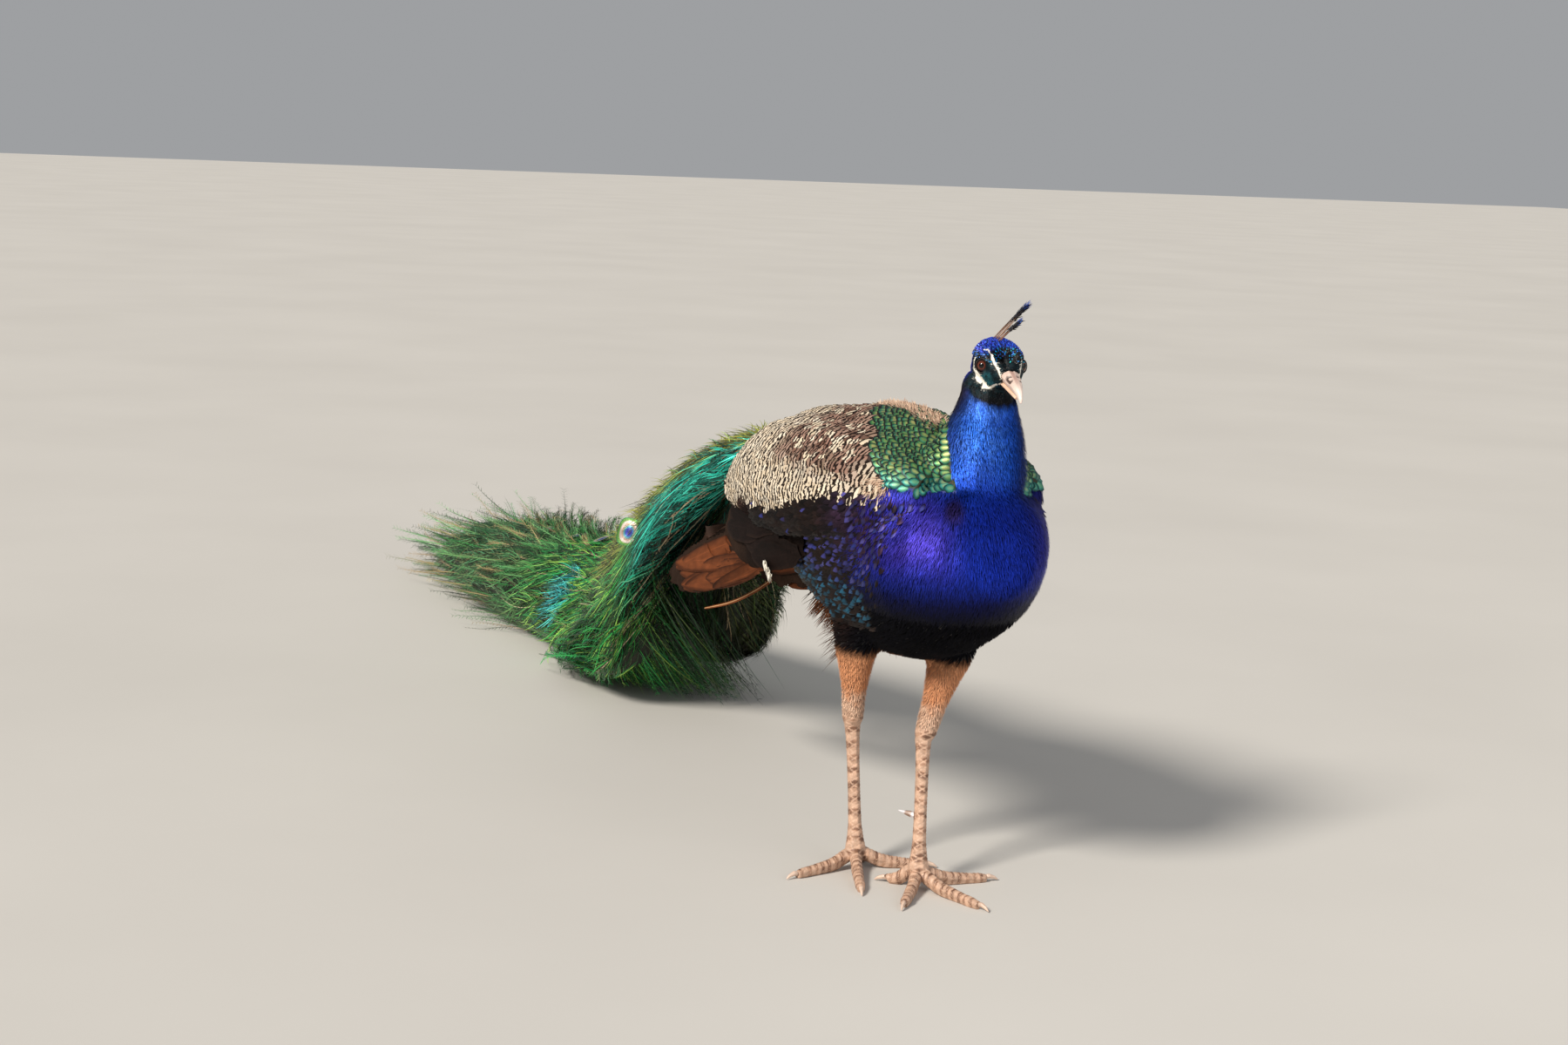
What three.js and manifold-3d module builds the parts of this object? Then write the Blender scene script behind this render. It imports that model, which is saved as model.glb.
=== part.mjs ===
// A life-size Indian peacock standing still, its train laid on the floor behind it.
// Millimetres, +Z up. The bird faces -Y, so its left side is +X. The floor is z = 0.
import * as THREE from "three";
import { mergeVertices } from "three/addons/utils/BufferGeometryUtils.js";
import Module from "manifold-3d";

const wasm = await Module();
wasm.setup();

// ---------------------------------------------------------------- driving dimensions
const GAP = 0.4; // clear space between two touching pieces
const BACK_HEIGHT = 522; // top of the back above the floor
const BODY_DEPTH = 266; // back to belly at the deepest section
const BODY_HALF_WIDTH = 101; // breast and belly, without the wings
const EYE_HEIGHT = 578;
const EYE_RADIUS = 7.5;
const HEAD_PLACE = [9, -150, EYE_HEIGHT]; // midpoint between the eyes
const HEAD_SIZE = 1.16; // scale of the head sections given below
const HEAD_PITCH = 15; // degrees, bill turned down
const HEAD_YAW = -11.5; // degrees, towards the bird's right
const HOCK_HEIGHT = 158;
const TARSUS_RADIUS = 7;
const TOE_LENGTHS = { inner: 68, middle: 84, outer: 72, hind: 24 };
const CLAW_LENGTH = 15;
const TRAIN_LENGTH = 1650; // from the root on the rump to the last tips
const TRAIN_HALF_WIDTH = 140;

// ---------------------------------------------------------------- materials
const paint = (color, roughness = 0.6, metalness = 0) =>
  new THREE.MeshStandardMaterial({ color, roughness, metalness });
const PAINT = {
  blue: paint(0x1a2f9c, 0.4, 0.4),
  breast: paint(0x2a2380, 0.45, 0.35),
  head: paint(0x15233f, 0.45, 0.3),
  barred: paint(0xc9b394, 0.75),
  dark: paint(0x1c1a22, 0.55, 0.1),
  rufous: paint(0x9c5326, 0.65),
  brown: paint(0x4a3424, 0.7),
  train: paint(0x2c6b3c, 0.45, 0.35),
  thigh: paint(0xcf9a6b, 0.8),
  leg: paint(0x9c8374, 0.6),
  horn: paint(0xb9a79c, 0.4),
  claw: paint(0x7c675a, 0.45),
  eye: paint(0x34150c, 0.08),
  crest: paint(0x1d3c6e, 0.5, 0.2),
};

// ---------------------------------------------------------------- geometry tools
const rad = (degrees) => (degrees * Math.PI) / 180;
const vec = (p) => new THREE.Vector3(...p);

// A smooth curve through the values that each key holds, read at t from 0 to 1.
function track(keys, read) {
  return new THREE.CatmullRomCurve3(keys.map((key) => vec(read(key))), false, "catmullrom", 0.5);
}

// A closed body swept through keys. Each key has its centre `at`, half-width `wide`, and reach above
// (`rise`) and below (`drop`) that centre. `bow` bends the section down at its sides, `roll` turns it
// about the path in degrees and `square` makes it boxier. `side` points along the width.
function loft(keys, { around = 24, rings = 20, side = null, grow = 0 } = {}) {
  const centre = track(keys, (k) => k.at);
  const size = track(keys, (k) => [k.wide, k.rise, k.drop ?? k.rise]);
  const bend = track(keys, (k) => [k.bow ?? 0, k.roll ?? 0, k.square ?? 2]);
  const points = [];
  for (let i = 0; i < rings; i++) {
    const t = i / (rings - 1);
    const along = centre.getTangent(t);
    const across = side ? vec(side) : along.clone().cross(new THREE.Vector3(0, 0, 1));
    across.addScaledVector(along, -across.dot(along)).normalize();
    across.applyAxisAngle(along, rad(bend.getPoint(t).y));
    const up = across.clone().cross(along);
    const middle = centre.getPoint(t);
    if (i === 0) middle.addScaledVector(along, -grow);
    if (i === rings - 1) middle.addScaledVector(along, grow);
    const reach = size.getPoint(t);
    const { x: bow, z: square } = bend.getPoint(t);
    for (let j = 0; j < around; j++) {
      const angle = (2 * Math.PI * j) / around;
      const c = Math.cos(angle);
      const s = Math.sin(angle);
      const u = Math.sign(c) * Math.abs(c) ** (2 / square);
      const v = Math.sign(s) * Math.abs(s) ** (2 / square);
      const sideways = u * (reach.x + grow);
      const height = v * ((s > 0 ? reach.y : reach.z) + grow) - bow * (sideways / reach.x) ** 2;
      points.push(middle.clone().addScaledVector(across, sideways).addScaledVector(up, height));
    }
  }
  return closeRings(points, around, rings);
}

// Joins rings of points into one closed surface with a fan over each end.
function closeRings(points, around, rings) {
  const faces = [];
  const last = (rings - 1) * around;
  const ringMiddle = (start) => {
    const sum = new THREE.Vector3();
    for (let j = 0; j < around; j++) sum.add(points[start + j]);
    return sum.divideScalar(around);
  };
  const head = points.push(ringMiddle(0)) - 1;
  const tail = points.push(ringMiddle(last)) - 1;
  for (let j = 0; j < around; j++) {
    const next = (j + 1) % around;
    faces.push(head, next, j, tail, last + j, last + next);
    for (let i = 0; i < rings - 1; i++) {
      const a = i * around;
      const b = a + around;
      faces.push(a + j, a + next, b + next, a + j, b + next, b + j);
    }
  }
  return new THREE.BufferGeometry().setFromPoints(points).setIndex(faces);
}

function solid(geometry) {
  const bare = geometry.clone();
  bare.deleteAttribute("normal");
  bare.deleteAttribute("uv");
  const merged = mergeVertices(bare, 1e-3);
  const vertProperties = merged.attributes.position.array;
  const triVerts = new Uint32Array(merged.index.array);
  const made = new wasm.Manifold(new wasm.Mesh({ numProp: 3, vertProperties, triVerts }));
  if (made.volume() > 0) return made;
  for (let i = 0; i < triVerts.length; i += 3)
    [triVerts[i + 1], triVerts[i + 2]] = [triVerts[i + 2], triVerts[i + 1]];
  return new wasm.Manifold(new wasm.Mesh({ numProp: 3, vertProperties, triVerts }));
}

function geometryOf(body) {
  const mesh = body.getMesh();
  const count = mesh.numProp;
  const points = [];
  for (let i = 0; i < mesh.vertProperties.length; i += count)
    points.push(new THREE.Vector3(...mesh.vertProperties.slice(i, i + 3)));
  const made = new THREE.BufferGeometry().setFromPoints(points).setIndex([...mesh.triVerts]);
  made.computeVertexNormals();
  return made;
}

// Cuts leave crumbs beside the piece that is wanted, which is the largest.
const largest = (body) => body.decompose().reduce((a, b) => (a.volume() > b.volume() ? a : b));
const less = (body, ...cutters) => largest(cutters.reduce((made, c) => made.subtract(c), body));
const join = (...bodies) => bodies.reduce((made, b) => made.add(b));
const loftSolid = (keys, options) => solid(loft(keys, options));

// The two sides of a cut through `point`, across `normal`, with a gap between them.
function split(body, point, normal) {
  const n = vec(normal).normalize();
  const offset = n.dot(vec(point));
  const ahead = body.trimByPlane([n.x, n.y, n.z], offset + GAP / 2);
  const behind = body.trimByPlane([-n.x, -n.y, -n.z], -offset + GAP / 2);
  return [largest(ahead), largest(behind)];
}
const onFloor = (body) => largest(body.trimByPlane([0, 0, 1], 0));
const mirrored = (keys) => keys.map((k) => ({ ...k, at: [-k.at[0], k.at[1], k.at[2]], roll: -(k.roll ?? 0) }));

const bird = new THREE.Group();
function add(name, body, material) {
  const mesh = new THREE.Mesh(geometryOf(body), material);
  mesh.name = name;
  bird.add(mesh);
}

// ---------------------------------------------------------------- trunk, neck and head
const MEDIAN = [1, 0, 0]; // sections on the median plane are as wide as the bird's X axis
const BACK = BACK_HEIGHT;
const trunkKeys = [
  { at: [0, -190, 388], wide: 24, rise: 24, drop: 26 },
  { at: [0, -176, 386], wide: 60, rise: 60, drop: 60 },
  { at: [0, -124, 384], wide: 0.95 * BODY_HALF_WIDTH, rise: 96, drop: 108 },
  { at: [0, -44, 384], wide: BODY_HALF_WIDTH, rise: BACK - 392, drop: BODY_DEPTH - 129 },
  { at: [0, 44, 386], wide: BODY_HALF_WIDTH, rise: BACK - 388, drop: BODY_DEPTH - 129 },
  { at: [0, 138, 392], wide: 0.92 * BODY_HALF_WIDTH, rise: BACK - 408, drop: 108 },
  { at: [0, 225, 392], wide: 0.76 * BODY_HALF_WIDTH, rise: BACK - 422, drop: 72 },
  { at: [0, 300, 386], wide: 0.52 * BODY_HALF_WIDTH, rise: 66, drop: 46 },
  { at: [0, 350, 376], wide: 20, rise: 28, drop: 20 },
];
const neckKeys = [
  { at: [0, -84, 372], wide: 92, rise: 92, drop: 74 },
  { at: [3, -98, 430], wide: 78, rise: 74, drop: 58 },
  { at: [6, -116, 474], wide: 58, rise: 58, drop: 45 },
  { at: [7, -126, 512], wide: 43, rise: 44, drop: 34 },
  { at: [6, -131, 542], wide: 31, rise: 31, drop: 24 },
  { at: [7, -132, 560], wide: 23, rise: 23, drop: 18 },
  { at: [8, -135, 573], wide: 13, rise: 13, drop: 11 },
];
// Head sections in its own frame: the eyes' midpoint is the origin and the bill points to -Y.
const headKeys = [
  { at: [0, 38, -5], wide: 8, rise: 8, drop: 8 },
  { at: [0, 32, -4], wide: 15, rise: 17, drop: 15 },
  { at: [0, 18, -1], wide: 21, rise: 24, drop: 20 },
  { at: [0, 3, 0], wide: 22, rise: 26, drop: 21 },
  { at: [0, -10, -1], wide: 19, rise: 22.5, drop: 18 },
  { at: [0, -20, -3], wide: 13, rise: 14, drop: 12 },
  { at: [0, -27, -4.5], wide: 8.5, rise: 8.5, drop: 8 },
];
const headTurn = new THREE.Matrix4()
  .makeTranslation(...HEAD_PLACE)
  .multiply(new THREE.Matrix4().makeRotationZ(rad(HEAD_YAW)))
  .multiply(new THREE.Matrix4().makeRotationX(rad(HEAD_PITCH)))
  .multiply(new THREE.Matrix4().makeScale(HEAD_SIZE, HEAD_SIZE, HEAD_SIZE));
const onHead = (geometry) => solid(geometry.clone().applyMatrix4(headTurn));
const headBody = (grow) => onHead(loft(headKeys, { around: 18, rings: 10, side: MEDIAN, grow }));

function wholeBody(grow) {
  return join(
    loftSolid(trunkKeys, { around: 24, rings: 15, side: MEDIAN, grow }),
    loftSolid(neckKeys, { around: 18, rings: 9, side: MEDIAN, grow }),
    headBody(grow),
  );
}
const body = wholeBody(0);
const bodyClear = wholeBody(GAP);

const [aboveNeckBase, trunk] = split(body, [0, -110, 450], [0, -0.6, 0.8]);
const [aboveThroat, neck] = split(aboveNeckBase, [0, -130, 546], [0, -0.25, 0.97]);

// ---------------------------------------------------------------- eyes and bill
function eyeball(sideSign, grow = 0) {
  const ball = new THREE.SphereGeometry(EYE_RADIUS + grow, 12, 7);
  ball.translate(sideSign * 16.5, 0.2, -0.4);
  return onHead(ball);
}
const billTopKeys = [
  { at: [0, -18, -0.5], wide: 8.5, rise: 7, drop: 6 },
  { at: [0, -30, -1], wide: 8, rise: 7, drop: 5 },
  { at: [0, -41, -2.5], wide: 6, rise: 6.2, drop: 4 },
  { at: [0, -50, -5], wide: 3.8, rise: 4.8, drop: 3.6 },
  { at: [0, -56.5, -9], wide: 2, rise: 2.7, drop: 2.6 },
  { at: [0, -59.5, -12.6], wide: 0.8, rise: 0.9, drop: 0.9 },
];
const billLowKeys = [
  { at: [0, -16, -8], wide: 8.4, rise: 4, drop: 3.4 },
  { at: [0, -28, -8], wide: 7.6, rise: 3.2, drop: 3.6 },
  { at: [0, -41, -9.5], wide: 5.4, rise: 2.8, drop: 3 },
  { at: [0, -50, -11.5], wide: 2.6, rise: 1.6, drop: 1.8 },
];
const billTop = (grow) => onHead(loft(billTopKeys, { around: 10, rings: 8, side: MEDIAN, grow }));
const billLow = (grow) => onHead(loft(billLowKeys, { around: 8, rings: 5, side: MEDIAN, grow }));

const eyes = { left: eyeball(1), right: eyeball(-1) };
const head = less(aboveThroat, eyeball(1, GAP), eyeball(-1, GAP), billTop(GAP), billLow(GAP));
add("head", head, PAINT.head);
add("neck", neck, PAINT.blue);
add("eye_left", eyes.left, PAINT.eye);
add("eye_right", eyes.right, PAINT.eye);
add("bill_upper", billTop(0), PAINT.horn);
add("bill_lower", less(billLow(0), billTop(GAP)), PAINT.horn);

// ---------------------------------------------------------------- crest, a thin fan along the median plane
const CREST_LEAN = 25; // degrees, to the bird's left
const CREST_PITCH = 24; // degrees, forwards
const CREST_YAW = -4; // degrees, towards the bird's right
const CREST_HINGE = 16; // height over its root's level of the line that it leans about
const crestKeys = [
  { at: [-4, 6, 15], wide: 3, rise: 2.4 },
  { at: [-4, 5, 26], wide: 4, rise: 1.8 },
  { at: [-4, 5, 42], wide: 7.5, rise: 1.6 },
  { at: [-4, 7, 58], wide: 12, rise: 1.8 },
  { at: [-4, 9, 68], wide: 15, rise: 1.8 },
  { at: [-4, 10, 73], wide: 11, rise: 0.8 },
];
const crestTurn = new THREE.Matrix4()
  .makeTranslation(HEAD_PLACE[0] - 5, HEAD_PLACE[1], EYE_HEIGHT - 1)
  .multiply(new THREE.Matrix4().makeRotationZ(rad(CREST_YAW)))
  .multiply(new THREE.Matrix4().makeRotationX(rad(CREST_PITCH)))
  .multiply(new THREE.Matrix4().makeTranslation(0, 0, CREST_HINGE))
  .multiply(new THREE.Matrix4().makeRotationY(rad(CREST_LEAN)))
  .multiply(new THREE.Matrix4().makeTranslation(0, 0, -CREST_HINGE));
const crest = solid(loft(crestKeys, { around: 12, rings: 8, side: [0, 1, 0] }).applyMatrix4(crestTurn));
add("crest", less(crest, headBody(GAP)), PAINT.crest);

// ---------------------------------------------------------------- wings, folded against the body
// The section's width runs down the flank, so a roll near 90 degrees stands it on edge.
const covertKeys = [
  { at: [68, -136, 450], wide: 20, rise: 8, drop: 14, bow: 6, roll: 55 },
  { at: [79, -100, 456], wide: 46, rise: 13, drop: 22, bow: 16, roll: 52 },
  { at: [85, -20, 464], wide: 80, rise: 17, drop: 28, bow: 34, roll: 48 },
  { at: [84, 70, 463], wide: 90, rise: 15, drop: 28, bow: 42, roll: 48 },
  { at: [80, 160, 453], wide: 86, rise: 14, drop: 28, bow: 42, roll: 51 },
  { at: [70, 240, 439], wide: 74, rise: 16, drop: 24, bow: 30, roll: 56 },
  { at: [60, 305, 414], wide: 52, rise: 11, drop: 16, bow: 14, roll: 62 },
  { at: [54, 350, 394], wide: 20, rise: 4, drop: 6, bow: 3, roll: 66 },
];
const flightKeys = [
  { at: [94, 60, 378], wide: 30, rise: 6, drop: 12, bow: 4, roll: 80 },
  { at: [93, 130, 370], wide: 44, rise: 7, drop: 12, bow: 6, roll: 78 },
  { at: [84, 205, 362], wide: 52, rise: 7, drop: 12, bow: 7, roll: 76 },
  { at: [72, 275, 352], wide: 48, rise: 6, drop: 9, bow: 6, roll: 76 },
  { at: [63, 330, 346], wide: 26, rise: 3, drop: 4, bow: 2, roll: 76 },
];
const primaryKeys = [
  { at: [80, 180, 330], wide: 18, rise: 2.5, drop: 3, bow: 2, roll: 78 },
  { at: [75, 260, 314], wide: 30, rise: 3.5, drop: 3.5, bow: 3, roll: 78 },
  { at: [70, 350, 292], wide: 38, rise: 3.5, drop: 3.5, bow: 4, roll: 78 },
  { at: [66, 430, 268], wide: 34, rise: 3, drop: 3, bow: 4, roll: 78 },
  { at: [62, 482, 254], wide: 20, rise: 2, drop: 2, bow: 2, roll: 78 },
  { at: [60, 500, 248], wide: 6, rise: 1, drop: 1, bow: 0, roll: 78 },
];
const wingBodies = [];
for (const [sideName, turn] of [["left", (keys) => keys], ["right", mirrored]]) {
  const coverts = (grow) => loftSolid(turn(covertKeys), { around: 14, rings: 9, grow });
  const flight = (grow) => loftSolid(turn(flightKeys), { around: 10, rings: 7, grow });
  const primaries = loftSolid(turn(primaryKeys), { around: 10, rings: 7 });
  const outerCoverts = less(coverts(0), bodyClear);
  const outerFlight = less(flight(0), bodyClear, coverts(GAP));
  add(`wing_coverts_${sideName}`, outerCoverts, PAINT.barred);
  add(`wing_secondaries_${sideName}`, outerFlight, PAINT.dark);
  add(`wing_primaries_${sideName}`, less(primaries, bodyClear, flight(GAP)), PAINT.rufous);
  wingBodies.push(coverts(GAP), flight(GAP), loftSolid(turn(primaryKeys), { around: 10, rings: 7, grow: GAP }));
}

// ---------------------------------------------------------------- tail and train
const tailKeys = [
  { at: [0, 310, 360], wide: 26, rise: 6, drop: 8, bow: 4 },
  { at: [6, 400, 334], wide: 42, rise: 5, drop: 5, bow: 12 },
  { at: [18, 490, 298], wide: 54, rise: 4, drop: 4, bow: 20 },
  { at: [34, 580, 258], wide: 60, rise: 3, drop: 3, bow: 24 },
  { at: [44, 636, 232], wide: 48, rise: 1.8, drop: 1.8, bow: 14 },
];
const HALF = TRAIN_HALF_WIDTH;
const trainKeys = [
  { at: [0, 262, 440], wide: 34, rise: 12, drop: 18, bow: 8 },
  { at: [2, 340, 428], wide: 60, rise: 22, drop: 20, bow: 26 },
  { at: [12, 450, 396], wide: 80, rise: 34, drop: 20, bow: 50 },
  { at: [34, 580, 350], wide: 102, rise: 42, drop: 28, bow: 74, roll: -4 },
  { at: [62, 720, 290], wide: 120, rise: 42, drop: 74, bow: 106, roll: -6 },
  { at: [92, 860, 226], wide: 0.96 * HALF, rise: 46, drop: 158, bow: 142, roll: -4 },
  { at: [130, 1010, 158], wide: 0.84 * HALF, rise: 52, drop: 132, bow: 112 },
  { at: [152, 1180, 104], wide: 0.94 * HALF, rise: 70, drop: 78, bow: 60 },
  { at: [168, 1360, 66], wide: 0.94 * HALF, rise: 86, drop: 76, bow: 22 },
  { at: [174, 1560, 46], wide: 0.9 * HALF, rise: 88, drop: 60, bow: 4 },
  { at: [166, 1720, 36], wide: 0.74 * HALF, rise: 72, drop: 50, bow: 0 },
  { at: [154, 1850, 26], wide: 0.44 * HALF, rise: 44, drop: 36, bow: 0 },
  { at: [146, 262 + TRAIN_LENGTH, 18], wide: 0.1 * HALF, rise: 14, drop: 20, bow: 0 },
];
const tail = less(loftSolid(tailKeys, { around: 12, rings: 8, side: MEDIAN }), bodyClear, ...wingBodies);
const tailClear = loftSolid(tailKeys, { around: 12, rings: 8, side: MEDIAN, grow: 3 * GAP });
const wholeTrain = onFloor(
  less(loftSolid(trainKeys, { around: 16, rings: 20, side: MEDIAN }), bodyClear, tailClear, ...wingBodies),
);
const [trainBack, trainRoot] = split(wholeTrain, [60, 800, 250], [0, 0.9, -0.4]);
const [trainEnd, trainMiddle] = split(trainBack, [150, 1320, 60], [0.05, 1, 0]);
add("tail", tail, PAINT.brown);
add("train_root", trainRoot, PAINT.train);
add("train_middle", trainMiddle, PAINT.train);
add("train_end", trainEnd, PAINT.train);

// ---------------------------------------------------------------- legs
// Each leg's own places: where it leaves the belly, its hock and the middle of its foot.
// The spur points inwards. Toe turns are in degrees from the way each toe's foot is heading.
const LEGS = {
  left: {
    hip: [32, -44, 258],
    hock: [9, -34, HOCK_HEIGHT],
    foot: [-6, -63, 24],
    heading: 14,
    spur: -1,
    turns: { inner: -54, middle: 0, outer: 70, hind: 211 },
  },
  right: {
    hip: [-46, 28, 258],
    hock: [-33, 52, HOCK_HEIGHT],
    foot: [-37, 24, 24],
    heading: -24,
    spur: 1,
    turns: { inner: 92, middle: 0, outer: -54, hind: -205 },
  },
};
const between = (a, b, t) => vec(a).lerp(vec(b), t).toArray();

function thighBody(leg, grow = 0) {
  const top = vec(leg.hip).add(new THREE.Vector3(0, -6, 34)).toArray();
  return loftSolid(
    [
      { at: top, wide: 30, rise: 40 },
      { at: leg.hip, wide: 25, rise: 33 },
      { at: between(leg.hip, leg.hock, 0.3), wide: 19, rise: 24 },
      { at: between(leg.hip, leg.hock, 0.62), wide: 14, rise: 17 },
      { at: between(leg.hip, leg.hock, 0.88), wide: 12.5, rise: 14.5 },
      { at: between(leg.hip, leg.hock, 1.0), wide: 9.5, rise: 10 },
    ],
    { around: 12, rings: 8, side: MEDIAN, grow },
  );
}

function tarsusBody(leg, grow = 0) {
  const shank = [
    { at: between(leg.hock, leg.foot, -0.07), wide: 8, rise: 8 },
    { at: between(leg.hock, leg.foot, 0.02), wide: 9.4, rise: 10.2 },
    { at: between(leg.hock, leg.foot, 0.14), wide: 7.4, rise: 8.6 },
    { at: between(leg.hock, leg.foot, 0.4), wide: TARSUS_RADIUS, rise: TARSUS_RADIUS + 0.8 },
    { at: between(leg.hock, leg.foot, 0.74), wide: TARSUS_RADIUS + 0.2, rise: TARSUS_RADIUS + 0.6 },
    { at: between(leg.hock, leg.foot, 0.9), wide: 9, rise: 8.8 },
    { at: between(leg.hock, leg.foot, 1.0), wide: 12, rise: 11.5 },
    { at: between(leg.hock, leg.foot, 1.08), wide: 11, rise: 10.5 },
  ];
  return loftSolid(shank, { around: 8, rings: 9, side: MEDIAN, grow });
}

// A toe runs from the foot's middle along the floor with a knuckle at each joint, and ends in its claw.
function toeKeys(leg, turn, length) {
  const [x, y, z] = leg.foot;
  const heading = rad(leg.heading + turn);
  const out = (distance, height) => [x + distance * Math.sin(heading), y - distance * Math.cos(heading), height];
  return {
    toe: [
      { at: out(0, z - 5), wide: 7.6, rise: 8 },
      { at: out(14, 15), wide: 7.2, rise: 7.2, drop: 9 },
      { at: out(14 + 0.24 * length, 9), wide: 6.2, rise: 6.2, drop: 9.4 },
      { at: out(14 + 0.4 * length, 7.4), wide: 6.8, rise: 6.4, drop: 8.4 },
      { at: out(14 + 0.62 * length, 6), wide: 5.6, rise: 5.4, drop: 7.2 },
      { at: out(14 + 0.8 * length, 5.4), wide: 6, rise: 5.4, drop: 6.8 },
      { at: out(10 + length, 4.6), wide: 4.2, rise: 4, drop: 5.6 },
    ],
    claw: [
      { at: out(10 + length - 6, 5), wide: 2.7, rise: 2.8, drop: 2.8 },
      { at: out(10 + length + 0.3 * CLAW_LENGTH, 6.2), wide: 2.6, rise: 2.8, drop: 3 },
      { at: out(10 + length + 0.7 * CLAW_LENGTH, 4.4), wide: 1.8, rise: 1.8, drop: 2.2 },
      { at: out(10 + length + CLAW_LENGTH, 1.5), wide: 0.6, rise: 0.6, drop: 0.8 },
    ],
  };
}

function spurBody(leg) {
  const base = between(leg.hock, leg.foot, 0.62);
  const tip = vec(base).add(new THREE.Vector3(leg.spur * 17, 19, 4)).toArray();
  return loftSolid(
    [
      { at: base, wide: 4.2, rise: 4.2 },
      { at: between(base, tip, 0.5), wide: 3.4, rise: 3.4 },
      { at: tip, wide: 0.7, rise: 0.7 },
    ],
    { around: 6, rings: 3 },
  );
}

for (const [sideName, leg] of Object.entries(LEGS)) {
  const thigh = less(thighBody(leg), bodyClear, ...wingBodies);
  const tarsus = onFloor(less(tarsusBody(leg), thighBody(leg, GAP)));
  add(`thigh_${sideName}`, thigh, PAINT.thigh);
  add(`shank_${sideName}`, tarsus, PAINT.leg);
  add(`spur_${sideName}`, less(spurBody(leg), tarsusBody(leg, GAP)), PAINT.horn);
  const before = [tarsusBody(leg, GAP)];
  for (const [toeName, turn] of Object.entries(leg.turns)) {
    const keys = toeKeys(leg, turn, TOE_LENGTHS[toeName]);
    const toe = (grow) => loftSolid(keys.toe, { around: 7, rings: 8, grow });
    add(`toe_${toeName}_${sideName}`, onFloor(less(toe(0), ...before)), PAINT.leg);
    add(`claw_${toeName}_${sideName}`, onFloor(less(loftSolid(keys.claw, { around: 6, rings: 4 }), toe(GAP))), PAINT.claw);
    before.push(toe(GAP));
  }
}

add("trunk", trunk, PAINT.breast);

// The origin goes on the floor under the middle of the bird's plan.
const plan = new THREE.Box3().setFromObject(bird, true).getCenter(new THREE.Vector3());
for (const piece of bird.children) piece.geometry.translate(-plan.x, -plan.y, 0);

export default bird;
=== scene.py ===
"""The looks of a life-size peacock on a pale floor: one skin, its feathers, eyes, bill and scaly legs.

Places are in the bird's own millimetres: it faces -Y, +X is its left side, the floor is at z = 0, and the
origin is under the middle of the trunk. `to_frame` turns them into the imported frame's metres.
"""

import math
import bpy
import numpy as np
from mathutils import Matrix, Vector
from mathutils.bvhtree import BVHTree


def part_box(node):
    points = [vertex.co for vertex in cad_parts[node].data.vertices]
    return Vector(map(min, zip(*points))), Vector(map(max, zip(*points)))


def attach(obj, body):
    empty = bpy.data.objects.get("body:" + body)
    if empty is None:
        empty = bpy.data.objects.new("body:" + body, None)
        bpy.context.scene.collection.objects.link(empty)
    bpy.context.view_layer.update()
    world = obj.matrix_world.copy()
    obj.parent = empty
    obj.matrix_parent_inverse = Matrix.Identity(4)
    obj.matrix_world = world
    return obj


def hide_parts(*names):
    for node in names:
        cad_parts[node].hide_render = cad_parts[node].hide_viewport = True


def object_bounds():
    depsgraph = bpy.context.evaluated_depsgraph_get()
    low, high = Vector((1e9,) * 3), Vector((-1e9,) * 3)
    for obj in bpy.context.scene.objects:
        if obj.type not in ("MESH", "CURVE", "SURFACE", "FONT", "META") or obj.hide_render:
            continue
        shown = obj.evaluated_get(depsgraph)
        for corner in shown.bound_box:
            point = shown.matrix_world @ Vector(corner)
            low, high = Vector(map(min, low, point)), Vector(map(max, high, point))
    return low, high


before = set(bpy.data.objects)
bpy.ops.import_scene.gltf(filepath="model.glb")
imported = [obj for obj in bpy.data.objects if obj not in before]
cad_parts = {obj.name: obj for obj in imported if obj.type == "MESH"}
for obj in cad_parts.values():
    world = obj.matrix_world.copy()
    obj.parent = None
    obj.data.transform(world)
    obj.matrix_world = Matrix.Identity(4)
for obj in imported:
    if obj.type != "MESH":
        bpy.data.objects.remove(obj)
CAD_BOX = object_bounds()

MM = 0.001
BREAST_REACH = 193.7  # how far the breast stands in front of the origin
PULL = 0.5  # how far one round of smoothing moves a vertex towards its neighbours' middle
FLOOR_GAP = 0.8  # how high over the floor the lowest feathers stay
SIDES = {"left": 1, "right": -1}
TOES = ("inner", "middle", "outer", "hind")
TRAIN_NODES = ("train_root", "train_middle", "train_end")
FULL = 1.0


# ---------------------------------------------------------------- numbers and colours

def unit(v):
    """Vectors of length one, along the last axis."""
    return v / np.maximum(np.linalg.norm(v, axis=-1, keepdims=True), 1e-9)


def smooth(low, high, x):
    """0 below low, 1 above high, and an S-curve between; low may be above high."""
    t = np.clip((x - low) / (high - low), 0, 1)
    return t * t * (3 - 2 * t)


def mix(a, b, share):
    """a where share is 0 and b where it is 1, for colours or vectors."""
    share = np.asarray(share)[..., None]
    return a * (1 - share) + b * share


def rgb(red, green, blue):
    """A display colour, 0 to 255, as linear light."""
    c = np.array([red, green, blue]) / 255
    return np.where(c <= 0.04045, c / 12.92, ((c + 0.055) / 1.055) ** 2.4)


def layered(colour, *coats):
    """A colour with others laid over it in turn, each given as (colour, share)."""
    for tone, share in coats:
        colour = mix(colour, tone, share)
    return colour


def columns(*values):
    """Numbers or arrays side by side, along a new last axis."""
    return np.stack(np.broadcast_arrays(*values), axis=-1)


def along_line(at, stations, points):
    """Places on a line through points, which lie at the given stations."""
    return columns(*(np.interp(at, stations, values) for values in points.T))


def split(p):
    """The x, the y and the z of points."""
    return np.moveaxis(p, -1, 0)


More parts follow.
